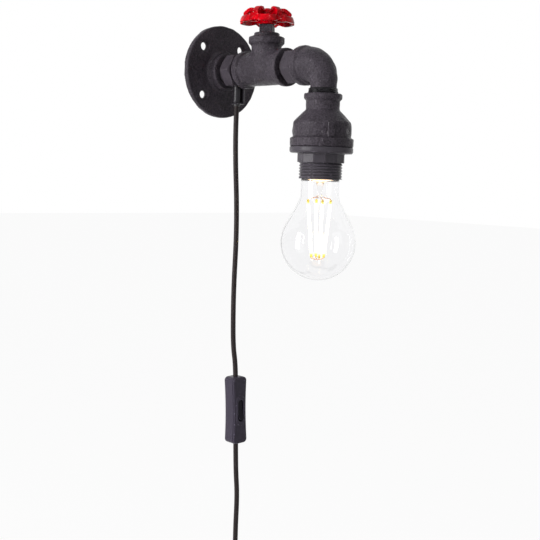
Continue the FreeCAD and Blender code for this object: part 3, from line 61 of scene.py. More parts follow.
# ---------------------------------------------------------------------------
# The photographer's camera, at the height of the cord's upper third, left of
# the light and turned down a little. Lens and place come from a fit to the
# photograph, with the flange's centre as origin.
# ---------------------------------------------------------------------------
def put_in_scene(name, data):
    """New object with this data, linked to the scene."""
    made = bpy.data.objects.new(name, data)
    bpy.context.scene.collection.objects.link(made)
    return made


eye = Vector((-580.2, -705.2, -88.2)) * MM
sight_turn, sight_drop, camera_roll = (math.radians(d) for d in (-42.554, 5.277, 1.833))
focal_pixels, frame_pixels, sensor_wide = 1026.1, 540, 36.0

away = Vector((math.sin(sight_turn) * math.cos(sight_drop),
               -math.cos(sight_turn) * math.cos(sight_drop), math.sin(sight_drop)))
level_right = Vector((0, 0, 1)).cross(away).normalized()
level_up = away.cross(level_right)
camera_right = level_right * math.cos(camera_roll) + level_up * math.sin(camera_roll)
camera_up = level_up * math.cos(camera_roll) - level_right * math.sin(camera_roll)

camera_data = bpy.data.cameras.new("photo_camera")
camera_data.sensor_width = sensor_wide
camera_data.lens = sensor_wide * focal_pixels / frame_pixels
camera_data.clip_start, camera_data.clip_end = 0.05, 30
camera = put_in_scene("photo_camera", camera_data)
camera.matrix_world = Matrix((
    (camera_right.x, camera_up.x, away.x, eye.x),
    (camera_right.y, camera_up.y, away.y, eye.y),
    (camera_right.z, camera_up.z, away.z, eye.z), (0, 0, 0, 1)))
bpy.context.scene.camera = camera


# ---------------------------------------------------------------------------
# Studio: a white floor far below, white surroundings for the eye, for gloss and
# for glass, a tall soft window at the left as key light, a weak fill in front,
# and two narrow strips that draw lines of light along the round pieces.
# ---------------------------------------------------------------------------
def node(tree, kind, feeds=None, **settings):
    """Adds a shader node; feeds sets its inputs, from values or from other nodes' outputs."""
    made = tree.nodes.new(kind)
    for name, value in settings.items():
        setattr(made, name, value)
    for name, value in (feeds or {}).items():
        if isinstance(value, bpy.types.NodeSocket):
            tree.links.new(value, made.inputs[name])
        else:
            made.inputs[name].default_value = value
    return made


def math_node(tree, operation, first, second=0.0, third=0.0):
    """Result of one operation on values or outputs."""
    made = node(tree, "ShaderNodeMath", {0: first, 1: second, 2: third}, operation=operation)
    return made.outputs[0]


def white_for_sight(tree):
    """1 for rays that come from the eye, from a mirror or through glass, else 0."""
    ray = node(tree, "ShaderNodeLightPath").outputs
    direct = math_node(tree, "MAXIMUM", ray["Is Camera Ray"], ray["Is Transmission Ray"])
    return math_node(tree, "MAXIMUM", direct, ray["Is Glossy Ray"])


scene = bpy.context.scene
scene.view_settings.view_transform = "Standard"
world = bpy.data.worlds.new("studio_air")
scene.world = world
world.use_nodes = True
air = world.node_tree
air.nodes.clear()
sky_way = node(air, "ShaderNodeTexCoord").outputs["Generated"]
bright_way = (-0.97, -0.2, 0.12)
toward_light = node(air, "ShaderNodeVectorMath", {0: sky_way, 1: bright_way},
                    operation="DOT_PRODUCT").outputs["Value"]
glow = node(air, "ShaderNodeMapRange", {
    "Value": toward_light, "From Min": -0.4, "From Max": 0.95, "To Min": 0.04, "To Max": 0.45},
    interpolation_type="SMOOTHSTEP").outputs["Result"]
lit = node(air, "ShaderNodeBackground", {"Color": (0.97, 0.97, 1.0, 1), "Strength": glow})
white = node(air, "ShaderNodeBackground", {"Color": (1, 1, 1, 1), "Strength": 1.0})
mixed_air = node(air, "ShaderNodeMixShader", {
    0: white_for_sight(air), 1: lit.outputs[0], 2: white.outputs[0]})
node(air, "ShaderNodeOutputWorld", {"Surface": mixed_air.outputs[0]})

floor_level, floor_half = cad_box[0].z - 0.012, 9.0
floor_mesh = bpy.data.meshes.new("studio_floor")
floor_mesh.from_pydata([(x * floor_half, y * floor_half, floor_level)
                        for x, y in ((-1, -1), (1, -1), (1, 1), (-1, 1))], [], [(0, 1, 2, 3)])
floor = put_in_scene("studio_floor", floor_mesh)
paper = bpy.data.materials.new("floor_paper")
paper.use_nodes = True
sheet = paper.node_tree
sheet.nodes.clear()
matte = node(sheet, "ShaderNodeBsdfDiffuse", {"Color": (0.92, 0.92, 0.92, 1)})
bright = node(sheet, "ShaderNodeEmission", {"Color": (1, 1, 1, 1), "Strength": 1.0})
share = math_node(sheet, "MULTIPLY", white_for_sight(sheet), 0.95)
blend = node(sheet, "ShaderNodeMixShader", {0: share, 1: matte.outputs[0], 2: bright.outputs[0]})
node(sheet, "ShaderNodeOutputMaterial", {"Surface": blend.outputs[0]})
floor_mesh.materials.append(paper)


def soft_light(name, place, target, wide, high, watts):
    """Rectangular area lamp at place, aimed at target."""
    data = bpy.data.lights.new(name, "AREA")
    data.shape, data.size, data.size_y, data.energy = "RECTANGLE", wide, high, watts
    turned = (Vector(place) - Vector(target)).to_track_quat("Z", "Y").to_matrix().to_4x4()
    put_in_scene(name, data).matrix_world = Matrix.Translation(place) @ turned


soft_light("window_left", (-1.41, 0.38, -0.05), (0, -0.128, -0.1), 0.34, 1.3, 18)
soft_light("fill_front", (0.5, -1.6, 0.3), (0, -0.08, -0.1), 0.9, 0.9, 1.5)
soft_light("strip_left", (-1.5, -0.1, 0.15), (0, -0.09, -0.05), 0.06, 0.6, 6.0)
soft_light("strip_top", (-0.5, -0.9, 1.1), (0, -0.09, 0.0), 0.05, 0.4, 2.0)


# ---------------------------------------------------------------------------
# Wall flange: a sand-cast iron disc and hub under satin black paint that keeps
# the sand's grain. Four countersunk holes take the wall screws, and handling
# has rubbed the outer edges grey.
# ---------------------------------------------------------------------------
def weld(data, source, reach):
    """Copies source's faces into data, and makes points less than reach apart one."""
    form = bmesh.new()
    form.from_mesh(source)
    bmesh.ops.remove_doubles(form, verts=form.verts, dist=reach)
    form.to_mesh(data)
    form.free()


def even_skin(name, source, facet, soften=2, relief=None):
    """The CAD piece's skin rebuilt in even facets so many mm wide, its edges softened by
    averaging each point with its neighbours. relief maps all points and normals to
    new points, in mm."""
    data = bpy.data.meshes.new(name)
    weld(data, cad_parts[source].data, 0.002 * MM)
    piece = put_in_scene(name, data)
    rebuild = piece.modifiers.new("even_facets", "REMESH")
    rebuild.mode, rebuild.voxel_size, rebuild.use_smooth_shade = "VOXEL", facet * MM, True
    average = piece.modifiers.new("soft_edges", "SMOOTH")
    average.factor, average.iterations = 0.5, soften
    bpy.context.view_layer.update()
    evaluated = piece.evaluated_get(bpy.context.evaluated_depsgraph_get())
    ready = bpy.data.meshes.new_from_object(evaluated)
    piece.modifiers.clear()
    piece.data = ready
    if relief:
        spots, normals = (np.empty(len(ready.vertices) * 3) for _ in range(2))
        ready.vertices.foreach_get("co", spots)
        ready.vertices.foreach_get("normal", normals)
        moved = relief(spots.reshape(-1, 3) / MM, normals.reshape(-1, 3))
        ready.vertices.foreach_set("co", (moved * MM).ravel())
        ready.update()
    ready.polygons.foreach_set("use_smooth", np.ones(len(ready.polygons), dtype=bool))
    return piece


def finish_piece(piece, material, slot, body, *nodes):
    """Gives a piece its material and its body, and hides the CAD nodes it stands for; slot is not
    used.
    """
    piece.data.materials.clear()
    piece.data.materials.append(material)
    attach(piece, body)
    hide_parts(*nodes)


def sand_waves(spots, normals, height=0.08, length=7.0, waves=28, seed=5):
    """Uneven cast skin: each point moves along its normal by a sum of plane waves of one
    length, whose directions and phases are random."""
    chance = np.random.default_rng(seed)
    ways = chance.normal(size=(waves, 3))
    ways /= np.linalg.norm(ways, axis=1)[:, None]
    phases = chance.uniform(0, 2 * np.pi, waves)
    swell = np.sin(spots @ ways.T * (2 * np.pi / length) + phases).sum(1) / math.sqrt(waves / 2)
    return spots + normals * (height * swell)[:, None]


def new_material(name, **shader):
    """Material with a Principled BSDF; shader gives the sockets that are the same all over."""
    material = bpy.data.materials.new(name)
    material.use_nodes = True
    principled = material.node_tree.nodes["Principled BSDF"]
    for socket, value in shader.items():
        principled.inputs[socket.replace("_", " ")].default_value = value
    return material, material.node_tree, principled


def feed(tree, end, **outputs):
    """Links outputs that change over the surface to the sockets of a shader or a group's end."""
    for socket, output in outputs.items():
        tree.links.new(output, end.inputs[socket.replace("_", " ")])


def effect_group(name, values):
    """Empty node group that turns named values into a skin's colour, roughness and normal;
    returns its tree and both ends."""
    tree = bpy.data.node_groups.new(name, "ShaderNodeTree")
    kinds = {float: "NodeSocketFloat", tuple: "NodeSocketColor"}
    for label, start in values.items():
        socket = tree.interface.new_socket(label, in_out="INPUT", socket_type=kinds[type(start)])
        socket.default_value = start
    for label, kind in (("Colour", "Color"), ("Roughness", "Float"), ("Normal", "Vector")):
        tree.interface.new_socket(label, in_out="OUTPUT", socket_type="NodeSocket" + kind)
    return tree, tree.nodes.new("NodeGroupInput").outputs, tree.nodes.new("NodeGroupOutput")


def skinned_material(name, group, shader, **values):
    """Material that wears a group's effect, with its own values for it and for the shader."""
    material, tree, principled = new_material(name, **shader)
    effect = tree.nodes.new("ShaderNodeGroup")
    effect.node_tree = group
    for label, value in values.items():
        effect.inputs[label.replace("_", " ")].default_value = value
    skin = effect.outputs
    feed(tree, principled, Base_Color=skin["Colour"], Roughness=skin["Roughness"],
         Normal=skin["Normal"])
    return material


def surface_spot(tree):
    """Place on the piece, in metres along its own axes."""
    return node(tree, "ShaderNodeTexCoord").outputs["Object"]


def pointiness(tree):
    """Over 0.5 on outer edges, under 0.5 in hollows."""
    return node(tree, "ShaderNodeNewGeometry").outputs["Pointiness"]


def noise(tree, spot, scale, detail=4.0, roughness=0.5):
    """Cloudy values about 0.5, so many to the metre."""
    return node(tree, "ShaderNodeTexNoise", {
        "Vector": spot, "Scale": scale, "Detail": detail, "Roughness": roughness}).outputs[0]


def ramp(tree, value, low, high, to_low=0.0, to_high=1.0):
    """Value carried smoothly from the range low to high into another range."""
    return node(tree, "ShaderNodeMapRange", {
        "Value": value, "From Min": low, "From Max": high, "To Min": to_low, "To Max": to_high},
        interpolation_type="SMOOTHSTEP").outputs["Result"]


def mix_colour(tree, share, first, second):
    """First colour where share is 0, second where it is 1."""
    colours = {0: share, 6: first, 7: second}
    return node(tree, "ShaderNodeMix", colours, data_type="RGBA").outputs[2]


def shade(tree, colour, factor):
    """Colour times a factor."""
    feeds = {0: colour, "Scale": factor}
    return node(tree, "ShaderNodeVectorMath", feeds, operation="SCALE").outputs[0]


def bump(tree, height, distance, strength=1.0):
    """Normal that height from 0 to 1 tilts as a relief so many metres deep."""
    return node(tree, "ShaderNodeBump", {
        "Height": height, "Distance": distance, "Strength": strength}).outputs[0]


# Cast skin: sand grain in the paint, cloudy tone, pale specks, grey rubbed edges, painted crease
# shade.
bare_iron = (0.2, 0.19, 0.2, 1.0)
cast_skin, given, result = effect_group("cast_skin", {
    "Colour": (0.05, 0.045, 0.05, 1.0), "Rubbed Colour": bare_iron, "Grain Size": 900.0,
    "Grain Depth": 0.0002, "Speck": 0.5, "Rubbing": 0.6, "Gloss": 0.5})
spot = surface_spot(cast_skin)
grain = noise(cast_skin, spot, given["Grain Size"], 5.0, 0.55)
clouds = noise(cast_skin, spot, 42.0, 5.0, 0.6)
dapple = noise(cast_skin, spot, 240.0, 3.0)
point = pointiness(cast_skin)
edge = math_node(cast_skin, "MULTIPLY", ramp(cast_skin, point, 0.515, 0.57),
                 ramp(cast_skin, dapple, 0.38, 0.6))
edge = math_node(cast_skin, "MULTIPLY", edge, given["Rubbing"])
# Painted shade: where pointiness is low, in creases and hollows, the tone is darkened by up to 70
# percent.
painted_hollow_shade = ramp(cast_skin, point, 0.495, 0.44)
swing = math_node(cast_skin, "MULTIPLY", math_node(cast_skin, "SUBTRACT", grain, 0.5), 2.5)
tone = math_node(cast_skin, "MULTIPLY_ADD", swing, given["Speck"], 1.0)
tone = math_node(cast_skin, "MULTIPLY", tone, ramp(cast_skin, clouds, 0.3, 0.7, 0.8, 1.2))
painted_shade_factor = math_node(cast_skin, "MULTIPLY_ADD", painted_hollow_shade, -0.7, 1.0)
tone = math_node(cast_skin, "MULTIPLY", tone, painted_shade_factor)
painted = shade(cast_skin, given["Colour"], tone)
specks = math_node(cast_skin, "MULTIPLY", ramp(cast_skin, grain, 0.64, 0.74), 0.35)
specks = math_node(cast_skin, "MULTIPLY", specks, given["Speck"])
worn = math_node(cast_skin, "MAXIMUM", edge, specks)
finish = mix_colour(cast_skin, worn, painted, given["Rubbed Colour"])
rough = math_node(cast_skin, "ADD", given["Gloss"], ramp(cast_skin, clouds, 0.3, 0.7, -0.07, 0.1))
height = math_node(cast_skin, "MULTIPLY_ADD", dapple, 0.8, grain)
feed(cast_skin, result, Colour=finish, Roughness=rough,
     Normal=bump(cast_skin, height, given["Grain Depth"]))


def cast_material(name, gloss=0.3, grain_size=820.0, grain_depth=0.0005, speck=1.0, rubbing=0.6):
    """Black paint over sand-cast iron."""
    return skinned_material(
        name, cast_skin, {"Specular_IOR_Level": 0.07}, Colour=(0.054, 0.046, 0.056, 1.0),
        Gloss=gloss, Grain_Size=grain_size, Grain_Depth=grain_depth, Speck=speck, Rubbing=rubbing)


flange_iron = cast_material("flange_iron", rubbing=0.35)
flange = even_skin("flange", "wall_flange", 0.5, 2, sand_waves)
finish_piece(flange, flange_iron, "cast_fitting", "light", "wall_flange")


# ---------------------------------------------------------------------------
# Hexagon nipples: turned from bar, their flats milled and their pipe threads
# cut at the half inch pitch, then painted with the rest. The wrench has rubbed
# the hexagons' corners.
# ---------------------------------------------------------------------------
thread_radius, thread_pitch, thread_deep, thread_band = 10.4, 1.814, 0.45, 0.35


def thread_wave(height, pitch, turn):
    """Cosine of height less turn: 0 on a right-hand thread's crest, 1 in its valley."""
    return 0.5 - 0.5 * np.cos(2 * np.pi * height / pitch - turn)


def pipe_thread(spots, normals):
    """Right-hand thread along the nipple: points on the thread's cylinder sink by the wave of
    their way along the axis and their turn about it."""
    radius = np.hypot(spots[:, 0], spots[:, 2])
    turn = np.arctan2(spots[:, 2], spots[:, 0])
    on_thread = np.exp(-((radius - thread_radius) / thread_band) ** 4)
    depth = thread_wave(spots[:, 1], thread_pitch, -turn)
    share = (radius - on_thread * thread_deep * depth) / np.maximum(radius, 1e-6)
    return np.column_stack((spots[:, 0] * share, spots[:, 1], spots[:, 2] * share))


nipple_iron = cast_material("nipple_iron", gloss=0.34, grain_size=1200.0, grain_depth=0.00012,
                            speck=0.5, rubbing=0.8)
for name in ("wall_nipple", "arm_nipple"):
    nipple = even_skin(name + "_skin", name, 0.36, 1, pipe_thread)
    finish_piece(nipple, nipple_iron, "cast_fitting", "light", name)


# ---------------------------------------------------------------------------
# Tee: sand-cast iron with a bead round each of its three threaded sockets,
# painted black. It screws on to both nipples, its branch pointing up.
# ---------------------------------------------------------------------------
tee_iron = cast_material("tee_iron", rubbing=0.5)
tee = even_skin("tee", "pipe_tee", 0.42, 1, sand_waves)
finish_piece(tee, tee_iron, "cast_fitting", "light", "pipe_tee")


# ---------------------------------------------------------------------------
# Plug and handwheel: a square-headed plug closes the branch, and a cast wheel
# in thick red enamel, chipped along its rims, is screwed down on its stem.
# ---------------------------------------------------------------------------
plug_iron = cast_material("plug_iron", gloss=0.34, rubbing=0.7)
plug = even_skin("branch_plug", "tee_plug", 0.36, 2, sand_waves)
finish_piece(plug, plug_iron, "cast_fitting", "handwheel", "tee_plug")

enamel, tree, principled = new_material("red_enamel", Specular_IOR_Level=0.08)
spot, point = surface_spot(tree), pointiness(tree)
pools = noise(tree, spot, 130.0, 4.0, 0.55)
chips = noise(tree, spot, 420.0, 5.0, 0.7)
dust = noise(tree, spot, 1500.0, 2.0)
deep = ramp(tree, pools, 0.32, 0.66)
red = mix_colour(tree, deep, (0.36, 0.0, 0.004, 1), (0.74, 0.0, 0.008, 1))
# Painted shade: the red darkens towards a deep red-black where pointiness is low, in the wheel's
# hollows and recesses.
red = mix_colour(tree, ramp(tree, point, 0.5, 0.42, 0.0, 0.75), red, (0.1, 0.0, 0.002, 1))
chipped = math_node(tree, "MULTIPLY", ramp(tree, point, 0.55, 0.6), ramp(tree, chips, 0.53, 0.57))
flecks = math_node(tree, "MULTIPLY", ramp(tree, chips, 0.74, 0.78), 0.6)
chipped = math_node(tree, "MAXIMUM", chipped, flecks)
red = mix_colour(tree, chipped, red, (0.62, 0.42, 0.4, 1))
peel = math_node(tree, "MULTIPLY_ADD", dust, 0.15, pools)
feed(tree, principled, Base_Color=red, Roughness=ramp(tree, chips, 0.35, 0.7, 0.06, 0.2),
     Normal=bump(tree, peel, 0.00015))
wheel_y, wheel_petals, valley_turn, valley_wide = -60.15, 6, math.radians(17.5), math.radians(9)
rim_low, rim_taper, valley_deep, valley_rise = 36.6, 1.5, 1.4, 1.2
rim_from, valley_from, valley_high, foot_high = 14.0, 15.0, 8.4, 4.4


def bell_curve(distance, wide):
    """1 at no distance, and 1/e where the distance is wide."""
    return np.exp(-(distance / wide) ** 2)


def fade(value, start, over):
    """0 up to start, then rising evenly to 1 at start + over. Over may be negative."""
    return np.clip((value - start) / over, 0, 1)


def petal_form(spots, normals):
    """Rim leaned in towards the top, and each valley between petals sunk and its foot raised:
    shifts that grow with radius, and fall off as a bell curve of the turn from the valley."""
    out = spots - (0, wheel_y, 0)
    radius, high = np.hypot(out[:, 0], out[:, 1]), spots[:, 2] - rim_low
    part = 2 * math.pi / wheel_petals
    off = (np.arctan2(out[:, 1], out[:, 0]) - valley_turn + part / 2) % part - part / 2
    valley = bell_curve(off, valley_wide) * fade(radius, valley_from, 4)
    inward = rim_taper * fade(high, 0, 5) * fade(radius, rim_from, 5)
    inward = inward + valley_deep * valley * fade(high, valley_high, -3)
    share = 1 - inward / np.maximum(radius, 1)
    lift = valley_rise * valley * fade(high, foot_high, -3)
    moved = np.column_stack((spots[:, 0] * share, wheel_y + out[:, 1] * share, spots[:, 2] + lift))
    return sand_waves(moved, normals, 0.06, 9.0)


wheel = even_skin("handwheel_skin", "handwheel", 0.34, 2, petal_form)
finish_piece(wheel, enamel, "red_enamel", "handwheel", "handwheel")
wheel_screw = even_skin("wheel_screw_skin", "wheel_screw", 0.2, 3)
finish_piece(wheel_screw, enamel, "red_enamel", "wheel_lift", "wheel_screw")


# ---------------------------------------------------------------------------
# Street elbow: a cast bend with a beaded socket for the arm nipple and a tail
# that screws down into the bell. A gate's stub stands on its crown, and its
# left cheek keeps a few pimples of the sand mould.
# ---------------------------------------------------------------------------
lamp_y = (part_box("bulb_glass")[0].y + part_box("bulb_glass")[1].y) / 2 / MM
# Centre, width and height of each lump.
lumps = [((-3.0, -111.0, 15.2), 1.4, 1.1), ((-11.8, -123.3, 3.8), 0.9, 0.4),
         ((-12.5, -122.2, 0.6), 0.7, 0.3), ((-12.3, -123.2, -7.0), 1.0, 0.4),
         ((-13.6, -118.5, 2.4), 0.8, 0.3)]


def elbow_relief(spots, normals):
    """Sand waves, and lumps whose height falls off from their centres as bell curves."""
    rise = sum(high * bell_curve(np.linalg.norm(spots - middle, axis=1), wide)
               for middle, wide, high in lumps)
    return sand_waves(spots, normals) + normals * rise[:, None]


elbow_iron = cast_material("elbow_iron", gloss=0.34)
elbow = even_skin("elbow", "street_elbow", 0.42, 1, elbow_relief)
finish_piece(elbow, elbow_iron, "cast_fitting", "light", "street_elbow")


# ---------------------------------------------------------------------------
# Thread seal: black jointing paste squeezed out of the joint under the elbow,
# wiped round by a finger and set glossy.
# ---------------------------------------------------------------------------
def outline(corners, step=0.6):
    """Closed outline through (radius, height, rounding) corners: straight runs divided about
    every step mm, joined by parabolas that start one rounding before each corner."""
    spots = np.array([c[:2] for c in corners], dtype=float)
    rounding = np.array([c[2] if len(c) > 2 else 0.0 for c in corners])
    ahead, behind = np.roll(spots, -1, 0) - spots, np.roll(spots, 1, 0) - spots
    long_ahead, long_behind = np.hypot(*ahead.T), np.hypot(*behind.T)
    reach = np.minimum(rounding, 0.45 * np.minimum(long_ahead, long_behind))
    leave = spots + ahead * (reach / long_ahead)[:, None]
    enter = spots + behind * (reach / long_behind)[:, None]
    share = np.linspace(0, 1, 6)[:, None]
    pieces = []
    for i, spot in enumerate(spots):
        if reach[i] > 0:
            pieces.append((1 - share) ** 2 * enter[i] + 2 * share * (1 - share) * spot
                          + share ** 2 * leave[i])
        else:
            pieces.append(spot[None])
        run = enter[(i + 1) % len(spots)] - leave[i]
        count = max(int(np.hypot(*run) / step), 1)
        pieces.append(leave[i] + run * (np.arange(1, count) / count)[:, None])
    line = np.vstack(pieces)
    after = np.roll(line, -1, 0)
    turning = (line[:, 0] * after[:, 1] - after[:, 0] * line[:, 1]).sum()
    return line if turning > 0 else line[::-1]


def turned_skin(name, line, centre, around=160, shape=None):
    """Solid of revolution: the outline's (radius, height) points turned about a vertical axis
    at centre, all in mm; shape maps (radius, angle, height) to new radii. Rows and columns
    are joined at both ends and merged at the axis."""
    swing = np.linspace(0, 2 * np.pi, around, endpoint=False)[None, :]
    radius = np.repeat(line[:, :1], around, 1)
    height = np.repeat(line[:, 1:2], around, 1)
    if shape:
        radius = shape(radius, swing, height)
    points = np.stack((centre[0] + radius * np.cos(swing), centre[1] + radius * np.sin(swing),
                       height), -1)
    index = np.arange(radius.size).reshape(radius.shape)
    down, right = np.roll(index, -1, 0), np.roll(index, -1, 1)
    faces = np.stack((index, right, np.roll(down, -1, 1), down), -1).reshape(-1, 4)
    data = bpy.data.meshes.new(name)
    data.from_pydata((points.reshape(-1, 3) * MM).tolist(), [], faces.tolist())
    weld(data, data, 0.0001 * MM)
    data.polygons.foreach_set("use_smooth", np.ones(len(data.polygons), dtype=bool))
    return put_in_scene(name, data)


lamp_axis = (0.0, lamp_y)
seal_low, seal_top = (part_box("thread_seal")[i].z / MM for i in (0, 1))
seal_bore, squeeze_high = thread_radius + 0.06, 0.45


def squeezed(radius, angle, height):
    """Lumps round the outer wall: three waves of unlike length, two of which lean with height."""
    outer = fade(radius, 10.9, 0.5)
    swell = (0.5 * np.sin(3 * angle + 1.1) + 0.35 * np.sin(7 * angle + 4 * height)
             + 0.25 * np.sin(13 * angle - 2.6 * height))
    return radius + outer * squeeze_high * swell


paste, tree, principled = new_material("jointing_paste", Specular_IOR_Level=0.14)
smears = noise(tree, surface_spot(tree), 500.0, 4.0, 0.6)
black = mix_colour(tree, smears, (0.004, 0.004, 0.005, 1), (0.014, 0.012, 0.015, 1))
feed(tree, principled, Base_Color=black, Roughness=ramp(tree, smears, 0.3, 0.7, 0.16, 0.4),
     Normal=bump(tree, smears, 0.0006))
seal = turned_skin("thread_seal_skin", outline([
    (seal_bore, seal_low + 0.02, 0.1), (11.5, seal_low + 0.02, 0.4), (11.9, seal_low + 1.3, 0.5),
    (11.3, seal_low + 2.0, 0.3), (11.6, seal_top - 1.2, 0.5), (11.0, seal_top, 0.5),
    (seal_bore, seal_top, 0.1)], 0.25), lamp_axis, 180, squeezed)
finish_piece(seal, paste, "jointing_paste", "light", "thread_seal")


# ---------------------------------------------------------------------------
# Bell reducer: a cast socket that widens from the half inch thread to the
# lampholder's bore, its body a little barrel-shaped, with a casting seam on
# each side and a heavy bead at its lip.
# ---------------------------------------------------------------------------
body_top, body_low, body_radius, body_swell = -47.0, -57.0, 23.0, 0.45
rib_more, rib_foot, rib_slope = 0.5, 0.35, 0.3


def bell_relief(spots, normals):
    """Sand waves, a swell of the body's outer wall that follows half a sine of its height, and
    seam ribs raised by rib_more."""
    share = fade(spots[:, 2], body_top, body_low - body_top)
    radius = np.hypot(spots[:, 0], spots[:, 1] - lamp_y)
    swell = np.where(radius > body_radius - 1.2, body_swell * np.sin(np.pi * share), 0)
    on_rib = fade(radius, body_radius + rib_foot, rib_slope) * (spots[:, 2] > body_low)
    swell = (swell + rib_more * on_rib)[:, None]
    out = np.column_stack((spots[:, 0], spots[:, 1] - lamp_y, 0 * radius)) / radius[:, None]
    return sand_waves(spots, normals) + out * swell


bell_iron = cast_material("bell_iron", speck=1.1, rubbing=0.5)
# A patch of paint has flaked off low on the body, to the right of the seam.
patch_middle = (4.9 * MM, -151.2 * MM, -52.6 * MM)
tree = bell_iron.node_tree
spot = surface_spot(tree)
off_patch = node(tree, "ShaderNodeVectorMath", {
    0: spot, 1: patch_middle}, operation="DISTANCE").outputs["Value"]
ragged = math_node(tree, "MULTIPLY_ADD", noise(tree, spot, 700.0, 4.0, 0.7), 0.004, off_patch)
bare = ramp(tree, ragged, 0.0044, 0.0034, 0.0, 0.8)
principled = tree.nodes["Principled BSDF"]
painted = principled.inputs["Base Color"].links[0].from_socket
feed(tree, principled, Base_Color=mix_colour(tree, bare, painted, bare_iron))
bell = even_skin("bell", "bell_reducer", 0.42, 1, bell_relief)
finish_piece(bell, bell_iron, "cast_fitting", "light", "bell_reducer")


# ---------------------------------------------------------------------------
# Lampholder: a glossy black moulded shell whose skirt is threaded for the
# faceted shade ring. A mould seam crosses the thread.
# ---------------------------------------------------------------------------
# Moulded skin: faint cloudiness of colour, fine pitting, dull rubbed patches, painted shade in the
# hollows and a painted highlight on the edges.
moulded, given, result = effect_group("moulded_skin", {
    "Colour": (0.05, 0.05, 0.05, 1.0), "Pit Size": 2500.0, "Pit Depth": 0.00003, "Gloss": 0.35,
    "Dulling": 0.15, "Cloud": 0.25, "Hollow Shade": 0.0, "Edge Light": 0.0})
spot, point = surface_spot(moulded), pointiness(moulded)
clouds = noise(moulded, spot, 60.0)
pits = noise(moulded, spot, given["Pit Size"], 3.0, 0.6)
scuffs = noise(moulded, spot, 350.0, 5.0, 0.65)
swing = math_node(moulded, "SUBTRACT", clouds, 0.5)
lift = math_node(moulded, "MULTIPLY_ADD", swing, given["Cloud"], 1.0)
# Painted shade darkens the colour where pointiness is low, and a painted highlight lightens it
# where pointiness is high.
shadow = math_node(moulded, "MULTIPLY", ramp(moulded, point, 0.49, 0.42), given["Hollow Shade"])
painted_edge_highlight = math_node(moulded, "MULTIPLY", ramp(moulded, point, 0.52, 0.58), given["Edge Light"])
lift = math_node(moulded, "ADD", lift, math_node(moulded, "SUBTRACT", painted_edge_highlight, shadow))
rough = math_node(moulded, "MULTIPLY_ADD", math_node(moulded, "SUBTRACT", scuffs, 0.5),
                  given["Dulling"], given["Gloss"])
feed(moulded, result, Colour=shade(moulded, given["Colour"], lift), Roughness=rough,
     Normal=bump(moulded, pits, given["Pit Depth"]))


def moulded_material(name, colour, gloss, dulling=0.2, pit_depth=0.00003, pit_size=2500.0,
                     cloud=0.25, painted_hollow_shade=0.0, edge=0.0, **shader):
    """Plastic, rubber, ceramic or enamel with the moulded skin."""
    # The last two settings give the strength of the painted shade in hollows and the painted
    # highlight on edges.
    return skinned_material(
        name, moulded, shader, Colour=(*colour, 1.0), Gloss=gloss, Dulling=dulling,
        Pit_Depth=pit_depth, Pit_Size=pit_size, Cloud=cloud, Hollow_Shade=painted_hollow_shade, Edge_Light=edge)


holder_colour = (0.06, 0.053, 0.064)
holder_black = moulded_material("holder_black", holder_colour, 0.28, pit_depth=0.00004,
                                Specular_IOR_Level=0.12)
# Painted shade darkens the skirt thread's grooves and a painted highlight lightens its crests.
thread_black = moulded_material("thread_black", holder_colour, 0.24, pit_depth=0.00004,
                                painted_hollow_shade=0.9, edge=1.4, Specular_IOR_Level=0.12)
skirt_radius, skirt_pitch, skirt_deep = 17.3, 2.3, 0.9
skirt_low, thread_top, seam_turn, seam_wide = -90.0, -75.5, math.radians(201.9), 0.4


def skirt_thread(radius, angle, height):
    """Thread wave on the skirt's outer wall, crossed by the mould seam's narrow groove."""
    outer = (radius > skirt_radius - 0.3) & (height < thread_top)
    wave = thread_wave(height, skirt_pitch, angle)
    ends = fade(height, skirt_low, 1.2)
    seam = bell_curve((angle - seam_turn) * skirt_radius, seam_wide)
    return radius - np.where(outer, skirt_deep * ends * np.maximum(wave ** 0.8, 0.8 * seam), 0)


shell = turned_skin("holder_shell_skin", outline([
    (15.12, -59.15), (18.4, -59.15, 0.3), (18.4, -64.75, 0.2), (skirt_radius, -64.75, 0.2),
    (skirt_radius, skirt_low, 0.4), (15.5, skirt_low, 0.4), (15.5, -64.1), (14.35, -64.1),
    (14.35, -62.55), (15.12, -62.55)], 0.26), lamp_axis, 150, skirt_thread)
finish_piece(shell, thread_black, "holder_plastic", "light", "holder_shell")

collar_radius, collar_flats, collar_spin, collar_foot = 19.0, 12, math.radians(11), -70.3


def collar_facets(radius, angle, height):
    """Collar's outer wall cut back to a polygon: the flats' distance over the cosine of the turn
    from each flat's middle."""
    half = math.pi / collar_flats
    off_middle = (angle - collar_spin + half) % (2 * half) - half
    flat = collar_radius * math.cos(half) / np.cos(off_middle)
    on_collar = (radius > collar_radius - 0.6) & (height < collar_foot)
    return np.where(on_collar, np.minimum(radius, flat), radius)


# A painted highlight lightens the shade ring's edges.
ring_black = moulded_material("ring_black", holder_colour, 0.3, dulling=0.3, edge=0.8,
                              Specular_IOR_Level=0.16)
ring = turned_skin("shade_ring_skin", outline([
    (17.5, -77.1), (collar_radius, -77.1, 0.5), (collar_radius, -69.85, 0.4), (24.2, -69.85, 0.4),
    (25.2, -68.65, 0.5), (25.2, -65.3, 0.6), (24.6, -64.85, 0.4), (17.5, -64.85)], 0.35),
    lamp_axis, 240, collar_facets)
finish_piece(ring, ring_black, "holder_plastic", "light", "shade_ring")


def dress(material, *nodes):
    """Gives CAD nodes whose shape is right a material of this scene."""
    for name in nodes:
        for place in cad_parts[name].material_slots:
            place.material = material


dress(holder_black, "holder_cap")


